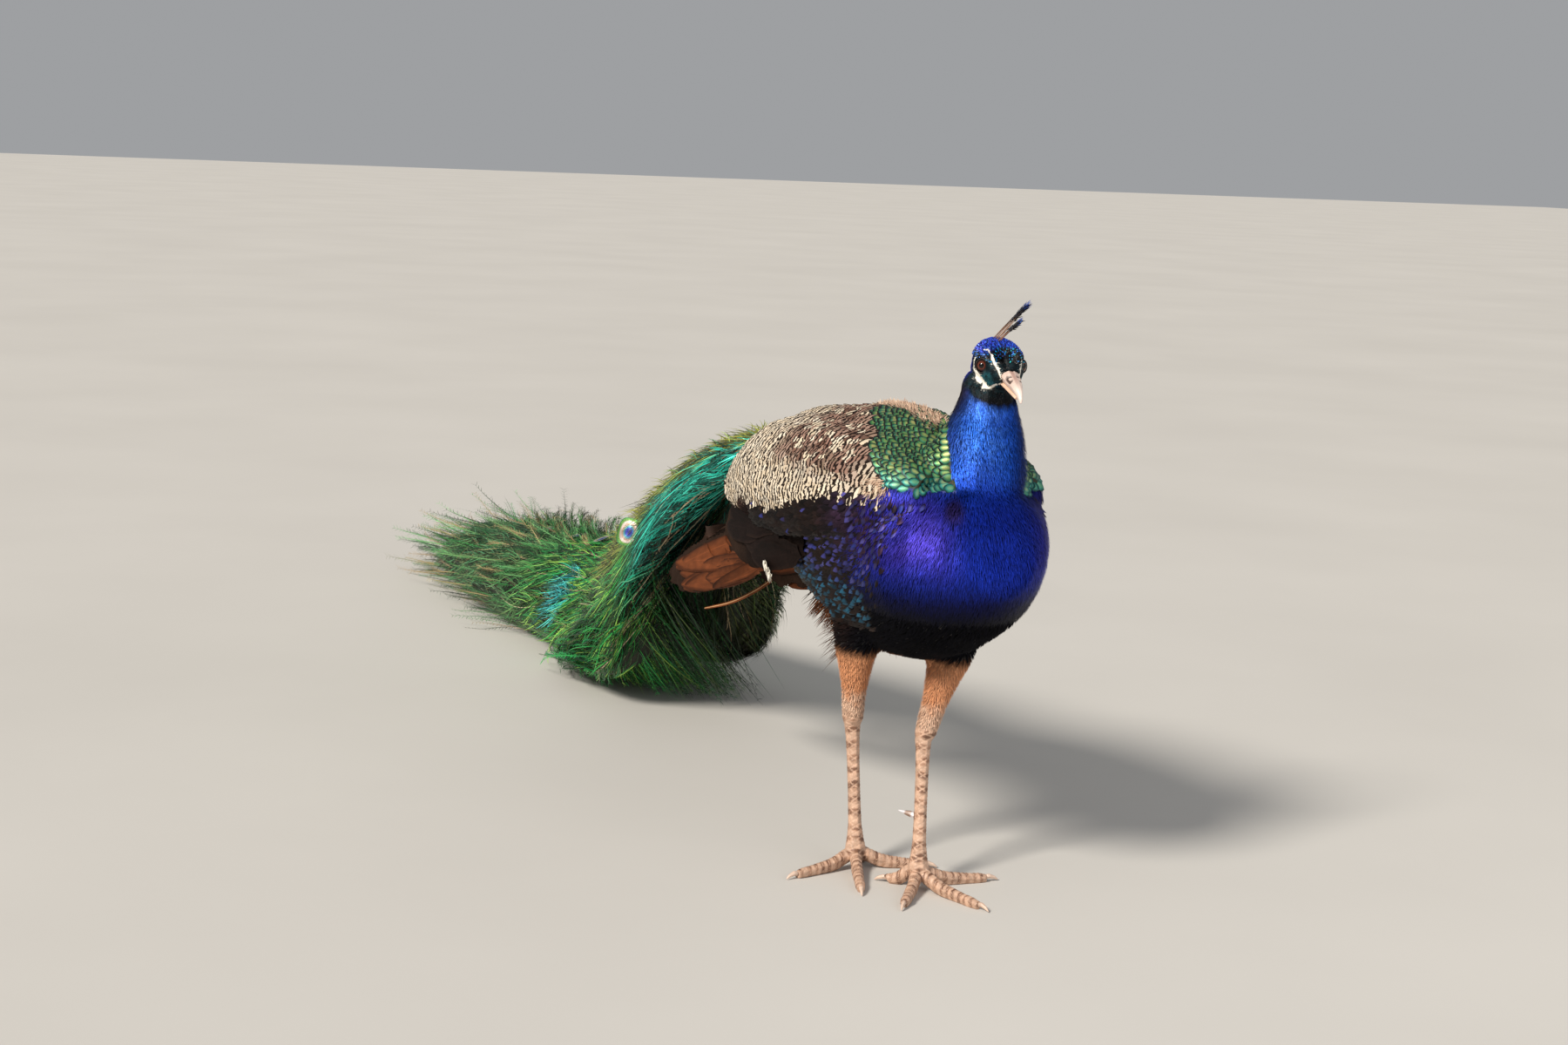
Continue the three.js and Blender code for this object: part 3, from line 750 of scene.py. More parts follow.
def coat_flow(p):
    """The way the feathers point at a place on the body."""
    x, y, z = split(p)
    down_neck = np.array([0.0, -0.30, -0.95])
    down_breast = np.array([0.0, 0.25, -0.97])
    back = np.array([0.0, 0.97, -0.22])
    over_head = np.array([0.0, 0.86, -0.5])
    flow = mix(back, down_breast, smooth(-20, -110, y) * smooth(275, 350, z))
    on_neck = smooth(1.5, 1.05, neck_share(p)) * smooth(420, 470, z)
    flow = mix(flow, down_neck, on_neck)
    flow = mix(flow, over_head, smooth(548, 566, z))
    flow = mix(flow, np.array([0.0, 0.12, -0.99]), smooth(262, 246, z))
    outward = columns(np.sign(x) * 0.25, 0.0, 0.0)
    return unit(flow + outward * smooth(440, 500, z)[..., None] * smooth(1.1, 1.6, neck_share(p))[..., None])


def coat_depth(p):
    """How thick the coat lies over the skin."""
    z = p[..., 2]
    depth = mix(np.array([4.5]), np.array([1.3]), smooth(528, 556, z))[..., 0]
    return depth + (3.0 - depth) * smooth(275, 245, z) - 1.6 * smooth(190, 165, z)


# ---------------------------------------------------------------- unwraps

SPINE = np.array([[4, -205, 570], [4, -150, 582], [4, -128, 560], [6, -116, 474],
                  [3, -95, 420], [0, -40, 385], [0, 100, 372], [0, 350, 375]], dtype=float)


def body_map(p):
    """The skin opened along the middle of its underside: the angle round the spine, and the way along it."""
    best = np.full(len(p), 1e9)
    around, along = np.zeros(len(p)), np.zeros(len(p))
    lengths = np.linalg.norm(np.diff(SPINE, axis=0), axis=1)
    done = 0.0
    for a, b, length in zip(SPINE, SPINE[1:], lengths):
        run = (b - a) / length
        t = np.clip((p - a) @ run, 0, length)
        off = p - a - t[:, None] * run
        gap = np.linalg.norm(off, axis=1)
        up = np.cross(np.array([1.0, 0, 0]), run)
        angle = np.arctan2(off[:, 0], off @ up)
        near = gap < best
        around, along = np.where(near, angle, around), np.where(near, done + t, along)
        best = np.minimum(best, gap)
        done += length
    return columns(0.05 + 0.9 * (around / (2 * math.pi) + 0.5), 0.26 + 0.70 * along / done)


def limb_map(number, around, along):
    """The ten lengths of the legs side by side under the body's map."""
    return columns(0.01 + 0.098 * (number + 0.1 + 0.8 * around), 0.02 + 0.2 * along)


# ---------------------------------------------------------------- legs

class Limb:
    """A straight length of a leg: where a point lies along it and round it."""

    def __init__(self, number, start, end, front):
        self.number, self.start = number, start
        self.length = np.linalg.norm(end - start)
        self.run = (end - start) / self.length
        self.front = unit(front - self.run * (front @ self.run))
        self.side = np.cross(self.run, self.front)

    def coordinates(self, p):
        off = p - self.start
        along = off @ self.run
        gap = np.linalg.norm(off - np.clip(along, 0, self.length)[:, None] * self.run, axis=1)
        return along, np.arctan2(off @ self.side, off @ self.front), gap


def limbs():
    """The shank and four toes of each leg, in the order of their maps."""
    made = []
    for side in SIDES:
        verts, _ = solid([f"shank_{side}"])
        foot = end_of(verts, 6)
        made.append(Limb(len(made), foot, end_of(verts, 6, top=True), np.array([0.0, -1.0, 0.0])))
        for toe in TOES:
            claw = middle_of(f"claw_{toe}_{side}")
            made.append(Limb(len(made), foot * [1, 1, 0] + [0, 0, 10], claw * [1, 1, 0] + [0, 0, 7], UPWARD))
    return made


def plates(u, v):
    """Depth of the groove between plates packed like bricks, one unit across: 0 in a plate, 1 in a groove."""
    best = np.full(u.shape, 9.0)
    second = best.copy()
    for shift in ((0.0, 0.0), (0.5, 0.5)):
        cu, cv = np.round(u - shift[0]) + shift[0], np.round(v - shift[1]) + shift[1]
        for du, dv in ((0, 0), (1, 0), (-1, 0), (0, 1), (0, -1)):
            gap = np.hypot(u - cu - du, v - cv - dv)
            second = np.minimum(second, np.maximum(best, gap))
            best = np.minimum(best, gap)
    return smooth(0.22, 0.0, second - best)


def scaled_legs(verts, faces):
    """Scutes pressed into the legs' skin, with the colour of each vertex and its place on the map."""
    normals = corner_normals(verts, faces)
    near = np.full(len(verts), 1e9)
    groove = np.zeros(len(verts))
    tint = np.zeros((len(verts), 3))
    uv = np.zeros((len(verts), 2))
    pale, ruddy, brown = rgb(206, 172, 148), rgb(158, 112, 84), rgb(92, 60, 44)
    for limb in limbs():
        along, angle, gap = limb.coordinates(verts)
        toe = limb.number % 5 > 0
        if toe:
            gap = gap + 3
            broad = plates(along / 4.6, angle / (2 * math.pi) * 0.001)
            small = plates(along / 3.0, angle * 6.5 / 3.0)
            cut = np.where(np.abs(angle) < 1.15, broad, 0.7 * small)
        else:
            broad = plates(along / 7.5, angle / 1.75 + 0.25)
            small = plates(along / 3.2, angle * 7 / 3.2)
            cut = np.where(np.abs(angle) < 1.3, broad, 0.8 * small)
        band = 0.5 + 0.5 * np.sin(along * 2 * math.pi / (15 if not toe else 9.2) + 1.5 * ripple(verts, 30))
        stain = np.clip(smooth(0.25, 0.75, band) * 0.85 + 0.4 * ripple(verts, 18), 0, 1) * (1 - 0.7 * cut)
        colour = layered(pale, (ruddy, np.clip(0.6 * stain + 0.25, 0, 1)),
                         (brown, smooth(0.55, 1.0, stain) * 0.75), (pale * 1.1, cut * 0.6))
        closer = gap < near
        near = np.where(closer, gap, near)
        groove = np.where(closer, cut, groove)
        tint = np.where(closer[:, None], colour, tint)
        turn = np.clip(angle / (2 * math.pi) + 0.5, 0, 1)
        uv = np.where(closer[:, None], limb_map(limb.number, turn, np.clip(along / 170 + 0.05, 0, 1)), uv)
    lifted = verts + normals * (0.35 - 0.75 * groove)[:, None] * smooth(0.2, 2.0, verts[:, 2])[:, None]
    lifted[:, 2] = np.maximum(lifted[:, 2], 0.05)
    return lifted, tint, uv


# ---------------------------------------------------------------- skin

HEAD_FROM = 505  # z above which the head has a finer mesh than the body
LEGS_UNDER = 200  # z below which the legs have one
LID_WIDTH = 12.5  # how far from the middle of an eye its raised lids reach
BODY_NODES = ("head", "neck", "trunk", "thigh_left", "thigh_right", "wing_coverts_left", "wing_coverts_right")
LEG_NODES = tuple(f"{part}_{side}" for side in SIDES for part in ("shank", *(f"toe_{toe}" for toe in TOES)))


def eye_axes(side):
    """The way an eye looks, out to its side and well forward, and the level and upright ways across it."""
    axis = unit(TO_LEFT * SIDES[side] * 0.56 + FORWARD * 0.82 + UPWARD * 0.08)
    level = unit(FORWARD - axis * (FORWARD @ axis))
    return axis, level, np.cross(axis, level) * SIDES[side]


def with_sockets(verts):
    """Opens the skin over each eye and raises it round the opening."""
    for side in SIDES:
        off = verts - EYES[side]
        axis, level, upright = eye_axes(side)
        ahead = off @ axis
        radial = np.hypot(off @ level / OPENING_SHAPE, off @ upright)
        reach = np.linalg.norm(off, axis=1)
        way = off / np.maximum(reach, 0.1)[:, None]
        facing = smooth(-1, 2, ahead) * smooth(18, 13, reach)
        within = smooth(EYE_OPENING + 1.1, EYE_OPENING - 0.3, radial)
        inside = within * facing
        lid = smooth(LID_WIDTH, 9.0, radial) * (1 - within) * facing
        target = (EYE_RADIUS - 2.5) * inside + (EYE_RADIUS + 0.5) * lid
        share = np.clip(inside + lid, 0, 1)
        moved = EYES[side] + way * target[:, None] / np.maximum(share, 0.01)[:, None]
        verts = mix(verts, moved, share)
    return verts


def kept(verts, faces, keep):
    """Only the faces whose corners all pass the test."""
    passed = keep[faces].all(axis=1)
    used = np.unique(faces[passed])
    back = np.zeros(len(verts), dtype=np.int64)
    back[used] = np.arange(len(used))
    return verts[used], back[faces[passed]]


def nape_fill(p):
    """How much the plumage fills the hollow between the back of the head and the neck."""
    forward, up, _ = head_axes(p)
    return 6.5 * np.exp(-((forward + 31) / 14) ** 2 - ((up + 15) / 13) ** 2)


def make_shells():
    """The body, the finely meshed head and the legs, each shrunk to lie under its coat."""
    body, body_faces = fused(BODY_NODES, 4.0, 5)
    chest = smooth(-10, -60, body[:, 1]) * smooth(350, 385, body[:, 2])
    body = eased(body, body_faces, chest, 24)
    sunk = coat_depth(body) + 3.5 * smooth(528, 548, body[:, 2])
    body = body - corner_normals(body, body_faces) * sunk[:, None]
    head, head_faces = fused(("head", "neck"), 0.95, 3)
    column = (head[:, 1] < -92) | (head[:, 2] > 540)
    head, head_faces = kept(head, head_faces, (head[:, 2] > HEAD_FROM) & column)
    nape = smooth(566, 556, head[:, 2] - 0.35 * (head[:, 1] + 120)) * smooth(512, 520, head[:, 2])
    head = eased(head, head_faces, nape, 45)
    sunk = coat_depth(head) + 3.0 * smooth(530, 508, head[:, 2]) - nape_fill(head)
    head = with_sockets(head - corner_normals(head, head_faces) * sunk[:, None])
    legs, leg_faces = fused((*LEG_NODES, "thigh_left", "thigh_right"), 1.25, 2, swell=0.2)
    legs, leg_faces = kept(legs, leg_faces, legs[:, 2] < LEGS_UNDER)
    sunk = 0.35 * smooth(1, 4, legs[:, 2]) + 5.0 * smooth(163, 185, legs[:, 2])
    legs = legs - corner_normals(legs, leg_faces) * sunk[:, None]
    return (body, body_faces), (head, head_faces), (legs, leg_faces)


def lid_rings():
    """A smooth dark lid round each eye's opening, a ring that rolls from the eyeball to the face."""
    turns, steps = 48, 8
    around = np.linspace(0, 2 * math.pi, turns, endpoint=False)
    across = np.linspace(-0.35, 1, steps)
    verts, faces = [], []
    for side in SIDES:
        axis, level, upright = eye_axes(side)
        for a in around:
            way = level * math.cos(a) + upright * math.sin(a)
            wide = EYE_OPENING * math.hypot(math.cos(a) * OPENING_SHAPE, math.sin(a))
            for s in across:
                radial = wide + 1.0 * max(s, 0) + 0.5 * s
                roll = 0.45 * math.sin(math.pi * min(max(s + 0.35, 0) * 0.62, 1))
                height = EYE_RADIUS + 0.05 + roll - 1.2 * max(s, 0) ** 2
                rise = math.sqrt(max(height ** 2 - min(radial, height * 0.98) ** 2, 0.2))
                verts.append(EYES[side] + way * radial + axis * rise)
        start = len(verts) - turns * steps
        for i in range(turns):
            for j in range(steps - 1):
                a, b = start + i * steps + j, start + ((i + 1) % turns) * steps + j
                faces.append((a, b, b + 1, a + 1))
    return np.array(verts), np.array(faces)


def make_skin(body, head, legs):
    """One skin for the whole bird, in the colours of the coat, with scutes on the legs."""
    head_tint = mix(coat_colour(head[0]) * 0.35, WHITE, bare_skin(head[0]))
    leg_verts, leg_tint, leg_uv = scaled_legs(*legs)
    lid, lid_faces = lid_rings()
    parts = ((*body, coat_colour(body[0]) * 0.55, body_map(body[0])),
             (*head, head_tint, body_map(head[0])),
             (lid, lid_faces, np.broadcast_to(rgb(36, 27, 25), lid.shape), body_map(lid)),
             (leg_verts, legs[1], leg_tint, leg_uv))
    starts = np.cumsum([0] + [len(part[0]) for part in parts[:3]])
    faces = np.concatenate([part[1] + start for part, start in zip(parts, starts)])
    verts, tints, uvs = (np.concatenate([part[i] for part in parts]) for i in (0, 2, 3))
    plumed = speckled_stuff("plumed_skin", 0.0015, 0.0003, 0.25, Roughness=0.6)
    scaly = speckled_stuff("leg_scutes", 0.0012, 0.0003, 0.35, Roughness=0.5)
    skin = piece("skin", verts, faces, tints, np.zeros_like(verts), uvs, [plumed, scaly], "leg_scales",
                 *BODY_NODES, *LEG_NODES)
    is_leg = np.arange(len(faces)) >= len(faces) - len(legs[1])
    skin.data.polygons.foreach_set("material_index", is_leg.astype(np.int32))


# ---------------------------------------------------------------- small feathers of the body

def bright(tint, rng, low, high, shape):
    """A tint per feather, lighter or darker at random."""
    return tint * rng.uniform(low, high, shape)[..., None]


def region_roots(surface, density, chosen, rng):
    """Roots and normals where the surface passes a test."""
    roots, normals = surface.scatter(density, rng)
    keep = chosen(roots)
    return roots[keep], normals[keep]


def plume_region(name, surface, material, slot, rng, density, chosen, length, width, rows, cols, sway,
                 even=0.0):
    """Small feathers over one region of the body, coloured by where they root, brighter towards their tips.

    even: 1 for feathers all of one brightness, 0 for a lively coat.
    """
    roots, normals = region_roots(surface, density, chosen, rng)
    count = len(roots)
    long = length(roots) * rng.uniform(0.75, 1.2, count)
    wide = width * rng.uniform(0.8, 1.2, count)
    depth = coat_depth(roots) * rng.uniform(0.75, 1.1, count)
    flow = coat_flow(roots)
    grid = vanes(surface, roots, normals, flow, long, wide, depth, rows, cols, rng, sway=sway)
    tip = coat_colour(roots + flow * long[:, None] * 0.6)
    tint = bright(tip, rng, 0.55 + 0.3 * even, 1.5 - 0.35 * even, count)[:, None, None]
    tone = 0.45 + 0.4 * even + (0.75 - 0.55 * even) * down(rows)
    one_coat(name, material, slot, grid, tint * tone, body_map(roots), rng.random(count))


def is_plain(p):
    """True where the coat is neither mantle nor wing."""
    return ~on_mantle(p) & ~on_wing(p)


FLUFF_UNDER = 318  # z of the border between the silky breast and the fluffy belly
NECK_FROM = 425  # z of the border between breast and neck
HEAD_PLUMES_FROM = 520  # z from which the head's own small feathers grow


def body_plumes(skin):
    """The coat of neck, breast, belly, flanks and legs."""
    rng = np.random.default_rng(7)
    silk = feather_stuff("neck_plumes", 2.0, 0.25, 0.1, Roughness=0.5, Metallic=0.75)
    soft = feather_stuff("belly_plumes", 2.0, 0.3, 0.1, Roughness=0.85, Specular_IOR_Level=0.08)

    def backward(p):
        return p[:, 1] + 0.55 * (p[:, 2] - 370) + 16 * ripple(p, 17)

    def behind(p):
        return backward(p) + 26 * ripple(p, 2.3) > -46

    def is_front(p):
        sided = behind(p) & (p[:, 2] < 444)
        return is_plain(p) & ~sided & (p[:, 2] > FLUFF_UNDER) & (p[:, 2] < HEAD_PLUMES_FROM + 10)

    def is_neck(p):
        return is_front(p) & (p[:, 2] >= NECK_FROM)

    def is_breast(p):
        return is_front(p) & (p[:, 2] < NECK_FROM)

    def is_flank(p):
        starts = backward(p) + 30 * ripple(p, 3.1) > -84
        return is_plain(p) & starts & (p[:, 1] < 190) & (p[:, 2] > 285) & (p[:, 2] < 446)

    def is_belly(p):
        low = (p[:, 2] <= FLUFF_UNDER) & (p[:, 2] > 246) & ~(behind(p) & (p[:, 2] > 285))
        rear = (p[:, 1] >= 190) & (p[:, 2] < 430)
        return (low | (rear & (p[:, 2] > 246))) & is_plain(p)

    def is_leg(p):
        return (p[:, 2] <= 252) & (p[:, 2] > 166)

    for name, chosen, density in (("coat_neck", is_neck, 0.66), ("coat_breast", is_breast, 0.5)):
        plume_region(name, skin, silk, "neck_feathers", rng, density, chosen,
                     lambda p: 8 + 5 * smooth(500, 400, p[:, 2]), 1.0, rows=4, cols=2, sway=0.12)
    plume_region("coat_belly", skin, soft, "body_feathers", rng, 0.16, is_belly,
                 lambda p: 12 + 6 * smooth(20, 110, p[:, 1]), 1.7, rows=5, cols=3, sway=0.15)
    plume_region("coat_legs", skin, soft, "thigh_feathers", rng, 0.42, is_leg,
                 lambda p: 4.5, 1.1, rows=3, cols=2, sway=0.1, even=1.0)
    flank_plumes(skin, silk, is_flank, rng)


def flank_plumes(skin, stuff, chosen, rng):
    """Soft dark feathers below the wing, some with tips that shine violet above and teal below."""
    coat = Coat()
    for lit in (False, True):
        cols, rows = (5, 7) if lit else (3, 6)
        roots, normals = region_roots(skin, 0.05, chosen, rng)
        if lit:
            roots, normals = apart(roots, normals, 6.0)
        count = len(roots)
        wide = (5.0, 8.0) if lit else (4.5, 7.5)
        depth = coat_depth(roots) + rng.uniform(-1, 1, count) + 1.7 * lit
        grid = vanes(skin, roots, normals, coat_flow(roots), rng.uniform(13, 19, count),
                     rng.uniform(*wide, count), depth, rows, cols, rng, sway=0.16, outline=rounded)
        dull, glint = flank_colour(roots)
        dull, glint = bright(dull, rng, 0.4, 1.5, count), bright(glint, rng, 0.25, 1.3, count)
        _, y, z = split(roots)
        upper = smooth(120, 60, y) * smooth(284, 296, z)
        upper = upper * (1 - smooth(-70, 0, y + 0.8 * (z - 400)) * smooth(356, 380, z))
        shining = lit * (rng.random(count) < 0.05 + 0.72 * upper)[:, None, None]
        shining = shining * smooth(0.5, 0.75, down(rows)[..., 0]) * smooth(1.2, 0.75, np.abs(sideways(cols)))
        tint = mix(dull[:, None, None], glint[:, None, None], shining)
        coat.add(grid, tint, body_map(roots), rng.random(count), 0.006)
    coat.build("coat_flanks", stuff, "body_feathers")


def head_plumes(head):
    """The smallest feathers: flat on the face, curled like beads on the crown, and silky on the nape."""
    rng = np.random.default_rng(11)
    beads = feather_stuff("crown_beads", 1.0, 0.2, 0.1, Roughness=0.3, Metallic=0.45)
    silk = bpy.data.materials["neck_plumes"]

    def away_from_eyes(p):
        gap = np.minimum(*(np.linalg.norm(p - EYES[side] - eye_axes(side)[0] * 5, axis=1) for side in SIDES))
        return (gap > 8.8) & (bare_skin(p) < 0.35)

    def is_crown(p):
        forward, up, _ = head_axes(p)
        return (up + 0.12 * forward > 8) & (forward > -30)

    roots, normals = region_roots(head, 1.25, lambda p: (p[:, 2] > HEAD_PLUMES_FROM) & away_from_eyes(p), rng)
    crown = is_crown(roots)
    crown_feathers(head, roots[crown], normals[crown], beads, rng)
    at, normal = roots[~crown], normals[~crown]
    count, rows = len(at), 4
    neck = 1 - on_head(at)
    long = (3.2 + 5.5 * neck) * rng.uniform(0.8, 1.2, count)
    depth = (0.9 + 2.6 * neck * smooth(560, 540, at[:, 2])) * rng.uniform(0.8, 1.15, count)
    wide = 1.25 * rng.uniform(0.8, 1.25, count)
    grid = vanes(head, at, normal, coat_flow(at), long, wide, depth, rows, 2, rng, sway=0.15)
    tint = bright(coat_colour(at), rng, 0.5, 1.5, count)[:, None, None] * (0.4 + 0.8 * down(rows))
    one_coat("coat_face", silk, "head_feathers", grid, tint, body_map(at), rng.random(count))


def crown_feathers(head, roots, normals, stuff, rng):
    """Short scales curled up like beads over the crown, bright ones among black ones."""
    some = rng.random(len(roots)) < 0.7
    at, normal = roots[some], normals[some]
    count, rows, cols = len(at), 5, 3
    long, wide = 2.4 * rng.uniform(0.8, 1.2, count), 1.7 * rng.uniform(0.8, 1.25, count)
    grid = vanes(head, at, normal, coat_flow(at), long, wide, 2.1 * rng.uniform(0.8, 1.15, count),
                 rows, cols, rng, sway=0.25, outline=rounded, camber=0.7, curl=0.2)
    lit = rng.random(count)
    forward, up, _ = head_axes(at)
    front = smooth(4, 14, forward) * smooth(21, 17, up)
    beads = mix(TURQUOISE, AZURE, rng.random(count)) * 1.1
    tint = layered(coat_colour(at) * 1.4, (BLACK, smooth(0.54, 0.62, lit) * 0.85),
                   (mix(BLACK, beads, lit < 0.16), front),
                   (rgb(70, 130, 236), (lit < 0.25) * (1 - front) * 0.7))
    tint = tint[:, None, None] * (0.35 + 0.85 * down(rows))
    one_coat("coat_crown", stuff, "head_feathers", grid, tint, body_map(at), rng.random(count))


# ---------------------------------------------------------------- mantle and wing coverts

def apart(roots, normals, spacing):
    """Of the given places only those that are at least a spacing from the ones before them."""
    cells, kept_roots = {}, []
    around = [(a, b, c) for a in (-1, 0, 1) for b in (-1, 0, 1) for c in (-1, 0, 1)]
    for i, (p, key) in enumerate(zip(roots, np.floor(roots / spacing).astype(int).tolist())):
        near = [j for a, b, c in around for j in cells.get((key[0] + a, key[1] + b, key[2] + c), ())]
        if not near or np.min(np.sum((roots[near] - p) ** 2, axis=1)) >= spacing ** 2:
            cells.setdefault(tuple(key), []).append(i)
            kept_roots.append(i)
    return roots[kept_roots], normals[kept_roots]


def even_roots(surface, spacing, chosen, rng):
    """Roots spread over one region, none much nearer to the next than a spacing."""
    roots, normals = surface.scatter(lambda p: (3.5 / spacing ** 2) * chosen(p), rng)
    order = rng.permutation(len(roots))
    return apart(roots[order], normals[order], spacing)


def scale_tint(rows, cols, heart, ring, rim):
    """A feather with a bright heart, a second colour round it and a dark rim."""
    reach = np.hypot(sideways(cols) * 0.95, np.clip(down(rows)[..., 0] - 0.5, 0, 1) * 1.9)
    return layered(heart[:, None, None], (ring[:, None, None], smooth(0.15, 0.55, reach)),
                   (rim[:, None, None], smooth(0.63, 0.76, reach)))


def mantle_plumes(skin):
    """Green-gold scales with black rims, turquoise along their lower border."""
    rng = np.random.default_rng(13)
    roots, normals = even_roots(skin, 5.0, on_mantle, rng)
    count, rows, cols = len(roots), 9, 7
    low = smooth(468, 452, roots[:, 2])
    size = 0.85 + 0.3 * smooth(-90, 30, roots[:, 1])
    flow = columns(0.2 * np.sign(roots[:, 0]), 0.9, -0.35)
    grid = vanes(skin, roots, normals, flow, 14 * size, 11.5 * size, 4.4 + rng.uniform(-0.5, 0.5, count),
                 rows, cols, rng, outline=rounded, camber=0.28, sway=0.08)
    heart = layered(rgb(178, 172, 104), (LEAF, rng.uniform(0.1, 0.7, count)), (TURQUOISE, low * 0.35))
    heart = bright(heart, rng, 0.75, 1.25, count)
    ring = layered(rgb(60, 132, 76), (TEAL, rng.uniform(0, 0.6, count)), (TURQUOISE, low * 0.5))
    ring = bright(ring, rng, 0.5, 0.95, count)
    tint = scale_tint(rows, cols, heart, ring, mix(BLACK, TURQUOISE * 0.3, low * 0.4))
    stuff = feather_stuff("mantle_scales", 9.0, 0.05, 0.06, Roughness=0.42, Metallic=0.4)
    one_coat("mantle", stuff, "body_feathers", grid, tint, body_map(roots), rng.random(count), 0.01)


def bar_count(p):
    """How many bars lie between the shoulder and a place on the wing; they are widest on the shoulder."""
    back = p[..., 1] * 0.97 - (p[..., 2] - 430) * 0.22
    wavy = 3.5 * ripple(p, 34) + 1.6 * ripple(p, 15)
    return 0.158 * (back + wavy) + 0.00009 * back ** 2


def covert_plumes(skin):
    """Cream feathers with black-brown bars, in shingled rows over each folded wing and the back between."""
    rng = np.random.default_rng(17)
    roots, normals = even_roots(skin, 7.0, on_wing, rng)
    stuff = barred_stuff("barred_coverts")
    for side, sign in SIDES.items():
        here = roots[:, 0] * sign > 0
        at, normal = roots[here], normals[here]
        count, rows, cols = len(at), 9, 5
        back = smooth(-60, 260, at[:, 1])
        depth = 5.0 + rng.uniform(-0.6, 0.8, count)
        grid = vanes(skin, at, normal, coat_flow(at), 26 - 5 * back, 13 + 1.5 * back, depth, rows, cols, rng,
                     outline=rounded, camber=0.2, sway=0.05)
        brown = (smooth(-95, -50, at[:, 1]) * smooth(200, 90, at[:, 1])
                 * smooth(436, 462, at[:, 2] + 8 * ripple(at, 30)))
        pale = bright(mix(CREAM, WHITE, rng.uniform(0.0, 0.5, count)), rng, 0.75, 1.05, count)
        dusky = mix(rgb(150, 114, 100), BROWN * 1.1, rng.random(count) ** 1.5)
        tint = mix(pale, dusky, brown * (rng.random(count) < 0.72) * rng.uniform(0.8, 1.0, count))
        low = smooth(12, 2, at[:, 2] - wing_floor(at[:, 1])) * smooth(60, 140, at[:, 1])
        tint = mix(tint, BROWN * 0.5, low * (rng.random(count) < 0.7))
        bars = bar_count(grid) + rng.normal(0, 0.13, (count, 1, 1))
        one_coat(f"coverts_{side}", stuff, "covert_feathers", grid, tint, body_map(at), rng.random(count),
                 0.014, bars)


WING_CORNER = np.array([-97.0, -92.0, 448.0])  # the front lower corner of the folded right wing


def back_fluff(skin):
    """Tan fluff that stands up along the middle of the back, and some at the front corner of the wing."""
    rng = np.random.default_rng(41)

    def chosen(p):
        middle = (np.abs(p[:, 0] + 6) < 10) & (p[:, 1] > -72) & (p[:, 1] < 62) & (p[:, 2] > 500)
        return middle | (np.linalg.norm((p - WING_CORNER) * [1.0, 0.7, 1.4], axis=1) < 13)

    roots, normals = region_roots(skin, 0.4, chosen, rng)
    count = len(roots)
    high = 6 + 3.5 * np.clip(ripple(roots, 16), -0.6, 1)
    grid = vanes(skin, roots, normals, coat_flow(roots), rng.uniform(6, 11, count), 1.1,
                 high * rng.uniform(0.6, 1.2, count), 6, 2, rng, sway=0.7)
    tint = bright(mix(rgb(226, 198, 172), rgb(164, 126, 104), rng.random(count)), rng, 0.8, 1.15, count)
    one_coat("back_fluff", bpy.data.materials["belly_plumes"], "covert_feathers", grid, tint, body_map(roots),
             rng.random(count))


WHITE_TUFT = np.array([-103.0, 140.0, 321.0])  # between the flank and the folded wing


def vent_fringe(skin):
    """Reddish-brown fluff along the rear of the belly, and a white tuft behind the right flank."""
    rng = np.random.default_rng(43)

    def low_rear(p):
        return (p[:, 1] > 40) & (p[:, 1] < 215) & (p[:, 2] > 236) & (p[:, 2] < 296 + 8 * ripple(p, 20))

    roots, normals = region_roots(skin, 0.06, low_rear, rng)
    count = len(roots)
    way = unit(columns(0.35 * np.sign(roots[:, 0]), 0.75, -0.55) + normals * 0.35
               + rng.normal(0, 0.16, (count, 3)))
    t = down(6)[..., 0]
    long = 26 * rng.uniform(0.3, 1.1, count)[:, None, None]
    path = roots[:, None] + way[:, None] * t * long - UPWARD * 5 * t ** 2
    tint = bright(mix(rgb(124, 74, 44), rgb(22, 14, 11), rng.random(count) ** 0.4), rng, 0.7, 1.2, count)
    coat = Coat()
    coat.add(ribbons(path, normals[:, None], 1.0), tint, body_map(roots), rng.random(count))
    count = 60  # feathers in the white tuft
    spread = rng.uniform(-1, 1, (count, 1))
    starts = WHITE_TUFT + spread * [0.0, -8.0, -7.0] + rng.normal(0, 0.8, (count, 3))
    way = unit(np.array([0.0, 0.5, -0.85]) + rng.normal(0, 0.08, (count, 3)))
    path = starts[:, None] + way[:, None] * t * 11 + np.array([0.03, 0.0, 0.0]) * (t * 11) ** 2
    white = bright(WHITE, rng, 0.75, 1.0, count)
    coat.add(ribbons(path, np.array([-1.0, 0.0, 0.2]), 4.0, outline=rounded, cols=3), white, body_map(starts),
             rng.random(count))
    coat.build("vent_fringe", bpy.data.materials["belly_plumes"], "body_feathers")


# ---------------------------------------------------------------- eyes, bill, claws

CORNEA = 44  # degrees from the eye's axis to the cornea's rim


